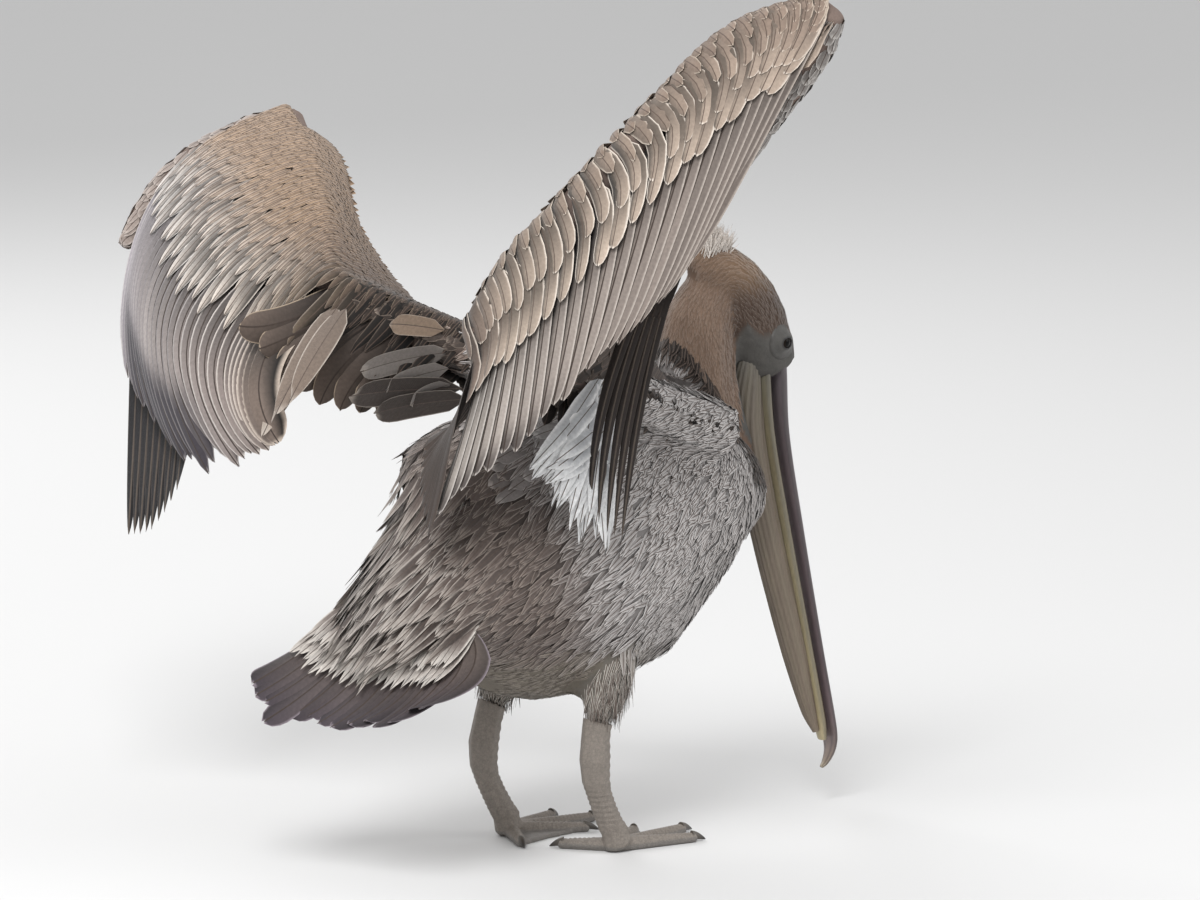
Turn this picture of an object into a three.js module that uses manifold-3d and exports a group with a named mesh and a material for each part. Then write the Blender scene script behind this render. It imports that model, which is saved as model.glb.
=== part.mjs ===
// A young brown pelican standing with both wings lifted and half folded, its head drawn down and its
// bill pointing at the ground. Millimetres. +X is forward, +Y is the bird's left, +Z is up, and the
// soles rest on z = 0. Places are given from a point between the feet, and the finished bird is then
// moved so that the origin is the middle of its whole footprint.
import * as THREE from "three";
import { mergeVertices } from "three/addons/utils/BufferGeometryUtils.js";
import Module from "manifold-3d";

const wasm = await Module();
wasm.setup();

// ---- driving dimensions ----
const GAP = 0.3; // clear space left between two neighbouring solids
const VANE = 2.4; // thickness of a sheet of flight feathers at its tips
const QUILL = 9; // thickness of the same sheet at the wing bones, coverts included
const STANCE = 48; // each foot's distance from the middle plane
const EYE_RADIUS = 8.6;
const TAIL_FEATHERS = 10;
const SECONDARIES = 11;
const PRIMARIES = 4;
const TERTIALS = 4;
const SOLE = 3.2; // thickness of a web underfoot
const TOE_RADIUS = 6.5;

const COLOURS = {
  plumage: "#857a72",
  neck: "#7c6353",
  head: "#6b5545",
  flight: "#8f8078",
  primaries: "#1c1a1c",
  tail: "#3e363c",
  bill: "#6a5c60",
  pouch: "#6f6154",
  leg: "#7d7873",
  claw: "#2f2b29",
  eye: "#1b1512",
};

const v = (x, y, z) => new THREE.Vector3(x, y, z);
const points = (rows) => rows.map(([x, y, z]) => v(x, y, z));
const curve = (rows) => new THREE.CatmullRomCurve3(points(rows), false, "centripetal");

// ---- solids ----
function solid(positions, faces) {
  const geometry = new THREE.BufferGeometry();
  geometry.setAttribute("position", new THREE.Float32BufferAttribute(positions, 3));
  geometry.setIndex(faces);
  const merged = mergeVertices(geometry, 1e-4);
  const made = new wasm.Manifold(
    new wasm.Mesh({
      numProp: 3,
      vertProperties: merged.attributes.position.array,
      triVerts: new Uint32Array(merged.index.array),
    }),
  );
  if (made.volume() > 0) return made;
  const turned = [];
  for (let i = 0; i < faces.length; i += 3) turned.push(faces[i], faces[i + 2], faces[i + 1]);
  return solid(positions, turned);
}

const largest = (made) =>
  made.decompose().reduce((best, piece) => (piece.volume() > best.volume() ? piece : best));

// Values between key stations [x, y, z, up, side], spaced evenly along the body's length.
function between(keys, count) {
  const path = curve(keys.map(([x, y, z]) => [x, y, z]));
  const sizes = curve(keys.map(([, , , up, side], i) => [up, side, i * 10]));
  const stations = [];
  for (let i = 0; i <= count; i++) {
    const t = i / count;
    const size = sizes.getPoint(t);
    stations.push({ at: path.getPoint(t), along: path.getTangent(t), up: size.x, side: size.y });
  }
  return stations;
}

// A closed body of oval rings. Each end is rounded off over a depth of cap times its ring's size.
function loft(keys, { rings = 10, sides = 16, across = v(0, 1, 0), grow = 0, cap = [0.5, 0.5] }) {
  const stations = between(keys, rings);
  const [first, last] = [stations[0], stations[rings]];
  const ended = [];
  const shoulder = (end, way, depth, turn) => ({
    at: end.at.clone().addScaledVector(end.along, way * depth * end.side * Math.sin(turn)),
    along: end.along,
    up: end.up * Math.cos(turn),
    side: end.side * Math.cos(turn),
  });
  ended.push(shoulder(first, -1, cap[0], Math.PI / 3), ...stations);
  ended.push(shoulder(last, 1, cap[1], Math.PI / 3));
  const positions = [];
  for (const { at, along, up, side } of ended) {
    const wide = across.clone().addScaledVector(along, -across.dot(along)).normalize();
    const high = along.clone().cross(wide).normalize();
    for (let k = 0; k < sides; k++) {
      const turn = (2 * Math.PI * k) / sides;
      const p = at.clone();
      p.addScaledVector(wide, (side + grow) * Math.cos(turn));
      p.addScaledVector(high, (up + grow) * Math.sin(turn));
      positions.push(p.x, p.y, p.z);
    }
  }
  const faces = [];
  for (let i = 0; i + 1 < ended.length; i++) {
    for (let k = 0; k < sides; k++) {
      const a = i * sides + k;
      const b = i * sides + ((k + 1) % sides);
      faces.push(a, b, b + sides, a, b + sides, a + sides);
    }
  }
  const poles = [
    first.at.clone().addScaledVector(first.along, -cap[0] * first.side - grow),
    last.at.clone().addScaledVector(last.along, cap[1] * last.side + grow),
  ];
  for (const [end, pole] of poles.entries()) {
    const centre = positions.length / 3;
    const ring = end * (ended.length - 1) * sides;
    positions.push(pole.x, pole.y, pole.z);
    for (let k = 0; k < sides; k++) {
      const a = ring + k;
      const b = ring + ((k + 1) % sides);
      faces.push(...(end ? [a, b, centre] : [b, a, centre]));
    }
  }
  return solid(positions, faces);
}

// A closed plate over a grid of middle points, thick by thickness(row) at each row.
function plate(grid, thickness) {
  const rows = grid.length;
  const columns = grid[0].length;
  const positions = [];
  for (const side of [1, -1]) {
    for (let i = 0; i < rows; i++) {
      for (let j = 0; j < columns; j++) {
        const down = grid[Math.min(i + 1, rows - 1)][j].clone().sub(grid[Math.max(i - 1, 0)][j]);
        const over = grid[i][Math.min(j + 1, columns - 1)].clone().sub(grid[i][Math.max(j - 1, 0)]);
        const normal = down.cross(over).normalize();
        const p = grid[i][j].clone().addScaledVector(normal, (side * thickness(i / (rows - 1))) / 2);
        positions.push(p.x, p.y, p.z);
      }
    }
  }
  const at = (side, i, j) => side * rows * columns + i * columns + j;
  const faces = [];
  const quad = (a, b, c, d) => faces.push(a, b, c, a, c, d);
  for (let i = 0; i + 1 < rows; i++) {
    for (let j = 0; j + 1 < columns; j++) {
      quad(at(0, i, j), at(0, i + 1, j), at(0, i + 1, j + 1), at(0, i, j + 1));
      quad(at(1, i, j), at(1, i, j + 1), at(1, i + 1, j + 1), at(1, i + 1, j));
    }
  }
  for (let i = 0; i + 1 < rows; i++) {
    quad(at(0, i, 0), at(1, i, 0), at(1, i + 1, 0), at(0, i + 1, 0));
    quad(at(0, i, columns - 1), at(0, i + 1, columns - 1), at(1, i + 1, columns - 1), at(1, i, columns - 1));
  }
  for (let j = 0; j + 1 < columns; j++) {
    quad(at(0, 0, j), at(0, 0, j + 1), at(1, 0, j + 1), at(1, 0, j));
    quad(at(0, rows - 1, j), at(1, rows - 1, j), at(1, rows - 1, j + 1), at(0, rows - 1, j + 1));
  }
  return solid(positions, faces);
}

// Overlapping feathers as one plate: roots, middles and tips are curves, and each feather's end is a tooth.
function vanes({ roots, middles, tips, feathers, tooth, rows = 4, thick = [QUILL, VANE] }, grow = 0) {
  const [root, middle, tip] = [roots, middles, tips].map(curve);
  const columns = feathers * 2;
  const grid = [];
  for (let i = 0; i <= rows; i++) {
    const t = i / rows;
    grid.push([]);
    for (let j = 0; j <= columns; j++) {
      const s = j / columns;
      const a = root.getPoint(s);
      const c = tip.getPoint(s);
      const bend = middle.getPoint(s).multiplyScalar(2).sub(a.clone().add(c).multiplyScalar(0.5));
      const reach = t * (j % 2 ? 1 : 1 - tooth / a.distanceTo(c));
      const p = a.multiplyScalar((1 - reach) ** 2);
      p.addScaledVector(bend, 2 * reach * (1 - reach));
      p.addScaledVector(c, reach ** 2);
      grid[i].push(p);
    }
  }
  return plate(grid, (t) => 2 * grow + thick[0] + (thick[1] - thick[0]) * Math.min(1, t * 1.6));
}

// ---- trunk, neck and head ----
const TRUNK = [
  [-184, -6, 192, 17, 46],
  [-162, -5, 198, 39, 60],
  [-130, -3, 205, 70, 72],
  [-90, 0, 213, 98, 82],
  [-36, 0, 220, 114, 88],
  [22, 0, 228, 113, 90],
  [76, 0, 249, 92, 86],
  [123, 0, 260, 68, 74],
  [157, 0, 260, 46, 54],
  [177, 0, 263, 20, 30],
];
// The long feathers of the back and shoulders, heaped between the lifted wings.
const MANTLE = [
  [-122, 14, 286, 34, 50],
  [-70, 6, 298, 44, 64],
  [0, 0, 302, 44, 70],
  [58, 0, 300, 38, 62],
];
const NECK = [
  [147, -2, 252, 40, 42],
  [126, -3, 300, 38, 40],
  [116, -5, 345, 35, 36],
  [121, -8, 385, 32, 30],
  [138, -12, 412, 28, 26],
];
const HEAD = [
  [119, -14, 437, 18, 19],
  [138, -16, 421, 27, 24],
  [157, -18, 399, 30, 25],
  [171, -20, 374, 28, 23],
  [180, -21, 349, 22, 20],
];
const HEAD_AXIS = v(0.13, 0.99, 0.03);

const trunk = (grow = 0) =>
  loft(TRUNK, { rings: 12, sides: 16, grow, cap: [0.2, 0.5] }).add(
    loft(MANTLE, { rings: 5, sides: 12, grow, cap: [0.4, 0.4] }),
  );
const neckLower = (grow = 0) => loft(NECK.slice(0, 3), { rings: 4, sides: 12, grow, cap: [0.5, 0.05] });
const neckUpper = (grow = 0) => loft(NECK.slice(2), { rings: 4, sides: 12, grow, cap: [0.05, 0.4] });
const head = (grow = 0) =>
  loft(HEAD, { rings: 6, sides: 12, across: HEAD_AXIS, grow, cap: [0.75, 0.35] });

// ---- bill ----
const BILL_UPPER = [
  [181, -22, 352, 12, 17],
  [187, -23, 300, 9, 14],
  [204, -24, 220, 7, 12],
  [224, -25, 130, 5.5, 11],
  [237, -26, 68, 5, 12],
  [240, -26, 50, 4.5, 10],
];
const BILL_NAIL = [
  [241, -26, 54, 4.5, 8],
  [240, -26, 43, 4, 6],
  [235, -26, 35, 3, 3.5],
];
const BILL_LOWER = [
  [169, -21, 345, 6, 17],
  [174, -22, 300, 5, 14],
  [193, -23, 220, 4.2, 11],
  [215, -24, 130, 3.8, 9.5],
  [230, -25, 68, 3.5, 8.5],
  [233, -25, 54, 3, 6],
];
const POUCH = [
  [156, -19, 352, 13, 13],
  [160, -20, 300, 15, 12],
  [179, -21, 220, 13.5, 9],
  [205, -23, 130, 11.5, 7],
  [221, -24, 76, 6.5, 5],
];
const bar = (keys, grow, cap = [0.3, 0.4]) =>
  loft(keys, { rings: 6, sides: 8, across: HEAD_AXIS, grow, cap });
const billUpper = (grow = 0) => bar(BILL_UPPER, grow).add(bar(BILL_NAIL, grow, [0.2, 0.8]));
const billLower = (grow = 0) => bar(BILL_LOWER, grow);
const pouch = (grow = 0) => bar(POUCH, grow, [0.9, 0.6]);

const EYE_PLACE = [179, -20, 371];
const EYE_APART = 17.5; // from the middle of the head to the middle of an eyeball
function eye(side, grow = 0) {
  const ball = new THREE.SphereGeometry(EYE_RADIUS + grow, 9, 6);
  const place = v(...EYE_PLACE).addScaledVector(HEAD_AXIS, side * EYE_APART);
  ball.translate(place.x, place.y, place.z);
  ball.deleteAttribute("normal");
  ball.deleteAttribute("uv");
  const merged = mergeVertices(ball, 1e-3);
  return solid(Array.from(merged.attributes.position.array), Array.from(merged.index.array));
}

// ---- tail ----
const TAIL = {
  roots: [[-178, 44, 190], [-168, -6, 190], [-144, -68, 184]],
  middles: [[-222, 53, 165], [-208, 4, 152], [-188, -48, 150], [-160, -84, 160]],
  tips: [[-266, 62, 144], [-266, 45, 122], [-244, 15, 114], [-236, -25, 114], [-228, -62, 126], [-212, -92, 146]],
};
const tail = (grow = 0) =>
  vanes({ ...TAIL, feathers: TAIL_FEATHERS, tooth: 8, rows: 3, thick: [11, 3] }, grow);

// ---- legs ----
// Keys are for the right leg, mirrored. The left leg reaches back below STEP_TOP, to a foot STEP_BACK behind.
const STEP_BACK = 27;
const STEP_TOP = 200;
const STEP_FOOT = 50;
function standing(rows, side) {
  const back = (z) => THREE.MathUtils.clamp((STEP_TOP - z) / (STEP_TOP - STEP_FOOT), 0, 1) * STEP_BACK;
  return rows.map(([x, y, z, ...rest]) => [side > 0 ? x - back(z) : x, side * y, z, ...rest]);
}
const THIGH = [
  [6, STANCE - 6, 190, 34, 30],
  [0, STANCE - 2, 158, 30, 26],
  [-9, STANCE + 3, 124, 23, 20],
  [-13, STANCE + 4, 114, 20, 18],
  [-16, STANCE + 4, 104, 13, 12],
];
const SHANK = [
  [-15, STANCE + 4, 110, 12, 11],
  [-18, STANCE + 4, 92, 11.5, 10.5],
  [-19, STANCE + 4, 74, 12.5, 11],
  [-17, STANCE + 3, 58, 11.5, 10],
  [-13, STANCE + 2, 47, 10, 9],
  [-7, STANCE + 1, 34, 10, 9],
  [0, STANCE, 21, 10.5, 9.5],
  [6, STANCE, 13, 11, 9.5],
];
// Toes of a foot: its turn from the middle toe towards the body, its length, and its claw's length.
const TOES = { inner: [26, 60, 12], middle: [0, 80, 14], outer: [-23, 66, 12], hind: [115, 44, 11] };
const FOOT_TURN = { left: 2, right: 12 }; // degrees, the middle toe towards the other foot

const thigh = (side, grow = 0) =>
  loft(standing(THIGH, side), { rings: 4, sides: 10, grow, cap: [0.4, 0.25] });
const shank = (side, grow = 0) =>
  loft(standing(SHANK, side), { rings: 7, sides: 8, grow, cap: [0.2, 0.5] });

const FOOT_CENTRE = [[7, STANCE, 0]];
const footCentre = (side) => v(...standing(FOOT_CENTRE, side)[0]);
function toeWay(side, turn) {
  const inward = THREE.MathUtils.degToRad(turn + (side > 0 ? FOOT_TURN.left : FOOT_TURN.right));
  return v(Math.cos(inward), -side * Math.sin(inward), 0);
}
// A bar lying on the floor with a flat sole, from the foot's middle out to the claw.
function toe(side, [turn, length], grow = 0) {
  const way = toeWay(side, turn);
  const keys = [0, 0.5, 1].map((t) => {
    const at = footCentre(side).addScaledVector(way, t * length);
    const thick = TOE_RADIUS * (1 - 0.32 * t);
    return [at.x, at.y, thick * 0.72, thick, thick];
  });
  return loft(keys, { rings: 2, sides: 7, across: v(-way.y, way.x, 0), grow, cap: [0.6, 0.6] });
}
function web(side, [turnA, lengthA], [turnB, lengthB]) {
  const centre = footCentre(side);
  const edge = (turn, length) => centre.clone().addScaledVector(toeWay(side, turn), length);
  const [a, b] = [edge(turnA, lengthA * 0.94), edge(turnB, lengthB * 0.94)];
  const hollow = a.clone().add(b).multiplyScalar(0.5).sub(centre).multiplyScalar(0.86).add(centre);
  const shape = new THREE.Shape();
  shape.moveTo(centre.x, centre.y);
  shape.lineTo(a.x, a.y);
  shape.quadraticCurveTo(hollow.x, hollow.y, b.x, b.y);
  shape.closePath();
  const made = new THREE.ExtrudeGeometry(shape, { depth: SOLE, bevelEnabled: false, curveSegments: 2 });
  made.deleteAttribute("normal");
  made.deleteAttribute("uv");
  const merged = mergeVertices(made, 1e-3);
  return solid(Array.from(merged.attributes.position.array), Array.from(merged.index.array));
}
const ABOVE_FLOOR = [[0, 0, 1], 0];
const HEEL = [[1, STANCE, 20, 9, 8.5], [7, STANCE, 6, 12, 11]];
function foot(side, grow = 0) {
  const { inner, middle, outer, hind } = TOES;
  let made = web(side, inner, middle).add(web(side, middle, outer)).add(web(side, hind, inner));
  for (const one of Object.values(TOES)) made = made.add(toe(side, one, grow));
  made = made.add(loft(standing(HEEL, side), { rings: 1, sides: 8, grow }));
  return made.trimByPlane(...ABOVE_FLOOR);
}
function claw(side, [turn, length, claws], grow = 0) {
  const way = toeWay(side, turn);
  const keys = [0, 0.5, 1].map((t) => {
    const at = footCentre(side).addScaledVector(way, length + t * claws - 1);
    const thick = 3.6 * (1 - 0.62 * t);
    return [at.x, at.y, 1 + 3.4 * (1 - t * t), thick, thick];
  });
  const made = loft(keys, { rings: 2, sides: 5, across: v(-way.y, way.x, 0), grow, cap: [0.4, 0.9] });
  return made.trimByPlane(...ABOVE_FLOOR);
}

// ---- wings ----
// Each wing is given by its joints and by the lines that its feathers' roots, middles and tips follow.
const WINGS = {
  right: {
    shoulder: [92, -58, 312],
    elbow: [-143, -74, 406],
    wrist: [12, -274, 648],
    handEnd: [-34, -201, 506],
    forearmBow: [[-126, -97, 455], [-100, -131, 504], [-67, -176, 564], [-27, -227, 626]],
    handBow: [[9, -264, 617], [-6, -246, 585], [-20, -224, 547]],
    leading: [[60, -64, 338], [30, -60, 372], [-4, -86, 418], [-20, -130, 474], [-24, -178, 534], [-10, -229, 595]],
    middles: [[-160, -78, 355], [-153, -104, 388], [-137, -132, 424], [-110, -170, 480], [-77, -211, 540], [-44, -247, 590], [-14, -276, 618]],
    tips: [[-184, -68, 280], [-176, -96, 304], [-158, -128, 333], [-139, -155, 370], [-118, -180, 404], [-98, -209, 436], [-80, -228, 470]],
    primaryRoots: [[-23, -221, 576], [-30, -210, 539], [-36, -199, 503]],
    primaryMiddles: [[-64, -139, 409], [-57, -152, 412], [-51, -163, 413]],
    primaryTips: [[-65, -100, 280], [-55, -109, 256], [-49, -121, 252]],
    tertialRoots: [[-100, -73, 394], [-124, -76, 402], [-146, -80, 398]],
    tertialMiddles: [[-140, -52, 345], [-158, -60, 345], [-170, -74, 345]],
    tertialTips: [[-168, -34, 322], [-178, -46, 300], [-186, -64, 284]],
  },
  left: {
    shoulder: [92, 58, 312],
    elbow: [-100, 163, 411],
    wrist: [40, 394, 512],
    handEnd: [-109, 413, 424],
    forearmBow: [[-50, 238, 446], [-3, 316, 482]],
    handBow: [[-25, 410, 497], [-77, 416, 464]],
    leading: [[76, 78, 330], [48, 117, 352], [13, 172, 378], [10, 226, 408], [22, 282, 441], [50, 347, 492]],
    middles: [[-164, 160, 362], [-168, 192, 366], [-160, 262, 388], [-140, 322, 410], [-112, 371, 440], [-80, 404, 466]],
    tips: [[-166, 138, 304], [-168, 156, 298], [-174, 198, 283], [-172, 255, 284], [-158, 315, 309], [-146, 371, 336]],
    primaryRoots: [[-10, 392, 492], [-66, 396, 456], [-108, 400, 414]],
    primaryMiddles: [[-100, 328, 350], [-121, 344, 338], [-134, 368, 330]],
    primaryTips: [[-176, 255, 258], [-194, 266, 226], [-203, 286, 219]],
    tertialRoots: [[-20, 118, 370], [-60, 138, 392], [-98, 160, 402]],
    tertialMiddles: [[-52, 126, 350], [-106, 142, 366], [-142, 164, 392]],
    tertialTips: [[-80, 128, 322], [-136, 142, 338], [-178, 172, 396]],
  },
};
const ARM_SIZES = { shoulder: [34, 29], elbow: [22, 18], wrist: [17, 15], handEnd: [9, 8] };

function arm(wing, from, bow, to, across, grow) {
  const sizeFrom = ARM_SIZES[from];
  const sizeTo = ARM_SIZES[to];
  const steps = bow.length + 1;
  const keys = [wing[from], ...bow, wing[to]].map((at, i) => [
    ...at,
    sizeFrom[0] + ((sizeTo[0] - sizeFrom[0]) * i) / steps,
    sizeFrom[1] + ((sizeTo[1] - sizeFrom[1]) * i) / steps,
  ]);
  return loft(keys, { rings: 5, sides: 8, across, grow, cap: [0.5, 0.5] });
}
const UP = v(0, 0, 1);
const FORWARD = v(1, 0, 0);
const upperArm = (wing, grow = 0) => arm(wing, "shoulder", [], "elbow", UP, grow);
const forearm = (wing, grow = 0) => arm(wing, "elbow", wing.forearmBow, "wrist", FORWARD, grow);
const hand = (wing, grow = 0) => arm(wing, "wrist", wing.handBow, "handEnd", FORWARD, grow);

// The fold of skin and small feathers between the leading edge and the two arm bones.
function wingWeb(wing, grow = 0) {
  const edge = curve([wing.shoulder, ...wing.leading, wing.wrist]);
  const bones = curve([wing.shoulder, wing.elbow, ...wing.forearmBow, wing.wrist]);
  const grid = [];
  const [rows, columns] = [3, 12];
  for (let i = 0; i <= rows; i++) {
    grid.push([]);
    for (let j = 0; j <= columns; j++) {
      const s = 0.03 + (0.94 * j) / columns;
      grid[i].push(edge.getPointAt(s).lerp(bones.getPointAt(s), i / rows));
    }
  }
  return plate(grid, (t) => 2 * grow + 4 + 5 * t);
}
const secondaries = (wing, grow) =>
  vanes(
    {
      roots: [wing.elbow, ...wing.forearmBow, wing.wrist],
      middles: wing.middles,
      tips: wing.tips,
      feathers: SECONDARIES,
      tooth: 9,
    },
    grow,
  );
const primaries = (wing, grow) =>
  vanes(
    {
      roots: wing.primaryRoots,
      middles: wing.primaryMiddles,
      tips: wing.primaryTips,
      feathers: PRIMARIES,
      tooth: 22,
      rows: 5,
      thick: [7, VANE],
    },
    grow,
  );
const tertials = (wing, grow) =>
  vanes(
    {
      roots: wing.tertialRoots,
      middles: wing.tertialMiddles,
      tips: wing.tertialTips,
      feathers: TERTIALS,
      tooth: 10,
      rows: 4,
      thick: [7, 3],
    },
    grow,
  );

// ---- the whole bird ----
const bird = new THREE.Group();
const placed = [];

// Adds a part, cut back by GAP from every part that was added before it.
function place(name, build, colour, roughness = 0.8) {
  const made = placed
    .filter((other) => !build(0).intersect(other).isEmpty())
    .reduce((left, other) => left.subtract(other), build(0));
  placed.push(build(0).add(build(GAP)));
  const mesh = largest(made).getMesh();
  const geometry = new THREE.BufferGeometry();
  geometry.setAttribute("position", new THREE.BufferAttribute(new Float32Array(mesh.vertProperties), 3));
  geometry.setIndex(new THREE.BufferAttribute(new Uint32Array(mesh.triVerts), 1));
  geometry.computeVertexNormals();
  const material = new THREE.MeshStandardMaterial({ color: colour, roughness, metalness: 0 });
  const node = new THREE.Mesh(geometry, material);
  node.name = name;
  bird.add(node);
}

const SIDES = { left: 1, right: -1 };
place("trunk", trunk, COLOURS.plumage);
place("neck_lower", neckLower, COLOURS.neck);
place("neck_upper", neckUpper, COLOURS.neck);
for (const [name, side] of Object.entries(SIDES)) {
  place(`eye_${name}`, (grow) => eye(side, grow), COLOURS.eye, 0.1);
}
place("head", head, COLOURS.head);
place("bill_upper", billUpper, COLOURS.bill, 0.45);
place("bill_lower", billLower, COLOURS.bill, 0.45);
place("pouch", pouch, COLOURS.pouch, 0.6);

for (const [name, side] of Object.entries(SIDES)) {
  place(`thigh_${name}`, (grow) => thigh(side, grow), COLOURS.plumage);
  place(`shank_${name}`, (grow) => shank(side, grow), COLOURS.leg, 0.6);
  place(`foot_${name}`, (grow) => foot(side, grow), COLOURS.leg, 0.6);
  for (const [toeName, sizes] of Object.entries(TOES)) {
    place(`claw_${toeName}_${name}`, (grow) => claw(side, sizes, grow), COLOURS.claw, 0.4);
  }
  const wing = WINGS[name];
  place(`upper_arm_${name}`, (grow) => upperArm(wing, grow), COLOURS.plumage);
  place(`forearm_${name}`, (grow) => forearm(wing, grow), COLOURS.plumage);
  place(`hand_${name}`, (grow) => hand(wing, grow), COLOURS.plumage);
  place(`secondaries_${name}`, (grow) => secondaries(wing, grow), COLOURS.flight);
  place(`wing_web_${name}`, (grow) => wingWeb(wing, grow), COLOURS.flight);
  place(`primaries_${name}`, (grow) => primaries(wing, grow), COLOURS.primaries);
  place(`tertials_${name}`, (grow) => tertials(wing, grow), COLOURS.flight);
}
place("tail", tail, COLOURS.tail);

// The bird's own middle plane gives way to the middle of its footprint as the origin.
const footprint = new THREE.Box3().setFromObject(bird).getCenter(v(0, 0, 0));
bird.position.set(-footprint.x, -footprint.y, 0);

export default bird;
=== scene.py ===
import math

import bpy
import numpy as np
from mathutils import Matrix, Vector
from mathutils.bvhtree import BVHTree
from mathutils.kdtree import KDTree


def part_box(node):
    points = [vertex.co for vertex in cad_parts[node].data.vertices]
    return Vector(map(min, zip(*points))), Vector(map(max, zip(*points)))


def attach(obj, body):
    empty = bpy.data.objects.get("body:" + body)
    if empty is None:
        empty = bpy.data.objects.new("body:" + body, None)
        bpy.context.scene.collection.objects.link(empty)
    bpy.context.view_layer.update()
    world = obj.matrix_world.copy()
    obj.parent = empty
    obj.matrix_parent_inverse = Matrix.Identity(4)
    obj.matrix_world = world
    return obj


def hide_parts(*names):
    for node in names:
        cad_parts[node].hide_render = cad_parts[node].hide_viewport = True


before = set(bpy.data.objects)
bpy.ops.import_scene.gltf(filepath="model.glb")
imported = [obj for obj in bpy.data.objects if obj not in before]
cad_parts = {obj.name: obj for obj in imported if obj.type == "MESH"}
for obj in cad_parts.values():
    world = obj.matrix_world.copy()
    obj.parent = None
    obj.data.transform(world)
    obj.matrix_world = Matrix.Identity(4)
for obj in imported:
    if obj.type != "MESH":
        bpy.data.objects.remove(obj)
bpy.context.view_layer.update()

MM = 0.001
EYE_PLACE = np.array([179.0, -20.0, 371.0])  # midway between the two eyeballs
EYE_RADIUS = 8.6
EYE_APART = 17.5  # from the middle of the head to the middle of an eyeball
SIDES = {"left": 1, "right": -1}

eye_lows = [np.array(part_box(f"eye_{name}")[0]) for name in SIDES]
ORIGIN = sum(eye_lows) / 2 + (EYE_RADIUS - EYE_PLACE) * MM
ORIGIN[2] = 0.0  # both frames have the floor at zero


# ---- vectors and curves ----
def unit(a):
    a = np.asarray(a, float)
    return a / np.maximum(np.linalg.norm(a, axis=-1, keepdims=True), 1e-9)


def mix(a, b, share):
    return a + (b - a) * share


def smooth(low, high, value):
    """0 below low, 1 above high, and an S curve between them."""
    t = np.clip((value - low) / (high - low), 0, 1)
    return t * t * (3 - 2 * t)


def linear(colour):
    """The linear RGB of an sRGB hex colour."""
    levels = np.array([int(colour[k : k + 2], 16) for k in (1, 3, 5)]) / 255
    return np.where(levels <= 0.04045, levels / 12.92, ((levels + 0.055) / 1.055) ** 2.4)


def spline(keys, at):
    """Points of centripetal curves through keys (..., K, 3) at the key numbers at (..., R)."""
    count = keys.shape[-2]
    whole = np.clip(at.astype(int), 0, count - 2)
    before = 2 * keys[..., :1, :] - keys[..., 1:2, :]
    after = 2 * keys[..., -1:, :] - keys[..., -2:-1, :]
    padded = np.concatenate([before, keys, after], axis=-2)
    p0, p1, p2, p3 = (np.take_along_axis(padded, (whole + k)[..., None], axis=-2) for k in range(4))
    g0, g1, g2 = (
        np.maximum(np.linalg.norm(b - a, axis=-1, keepdims=True), 1e-6) ** 0.5
        for a, b in ((p0, p1), (p1, p2), (p2, p3))
    )
    t1 = g1 * ((p1 - p0) / g0 - (p2 - p0) / (g0 + g1) + (p2 - p1) / g1)
    t2 = g1 * ((p2 - p1) / g1 - (p3 - p1) / (g1 + g2) + (p3 - p2) / g2)
    w = (at - whole)[..., None]
    return p1 + w * t1 + w**2 * (3 * p2 - 3 * p1 - 2 * t1 - t2) + w**3 * (2 * p1 - 2 * p2 + t1 + t2)


def line(rows, share):
    """Points at shares (n,) of the way, counted in keys, along a curve through rows."""
    keys = np.array(rows, float)
    return spline(keys, np.asarray(share, float) * (len(keys) - 1))


def line_by_length(rows, share):
    """The same, with the shares counted in length."""
    steps = np.linspace(0, 1, 200)
    dense = line(rows, steps)
    lengths = np.r_[0, np.cumsum(np.linalg.norm(np.diff(dense, axis=0), axis=1))]
    return line(rows, np.interp(share, lengths / lengths[-1], steps))


def bow(root, middle, tip, share):
    """Curves that start at root, pass middle halfway and end at tip, (n, R, 3)."""
    bend = 2 * middle - (root + tip) / 2
    root, bend, tip = (a[:, None] for a in (root, bend, tip))
    share = np.asarray(share, float)[..., None]
    return (1 - share) ** 2 * root + 2 * share * (1 - share) * bend + share**2 * tip


# ---- guide lines of the body ----
# Middle of the head and neck, from the bill's root over the nape to the breast.
SPINE = [
    [182, -21, 345],
    [171, -20, 373],
    [157, -18, 398],
    [138, -15, 418],
    [124, -10, 402],
    [119, -6, 365],
    [122, -4, 320],
    [138, -2, 262],
]
SPINE_POINTS = line(SPINE, np.linspace(0, 1, 60))
SPINE_WAYS = unit(np.gradient(SPINE_POINTS, axis=0))
HEAD_AXIS = unit([0.13, 0.99, 0.03])  # across the head, to its left
STANCE = 48  # from the middle plane to each foot
NECK_REACH = 58  # how far from the middle plane the tan of the neck and its dark border run
PALE_REACH = 112  # the same for the pale feathers of the breast, out on the upper arm
# Distances forward, and the height of the border between feathers and bare face skin at each.
FACE_BORDER = ([136, 141, 146, 152, 160, 168, 176, 184, 200], [280, 372, 388, 380, 376, 379, 382, 380, 372])

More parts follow.
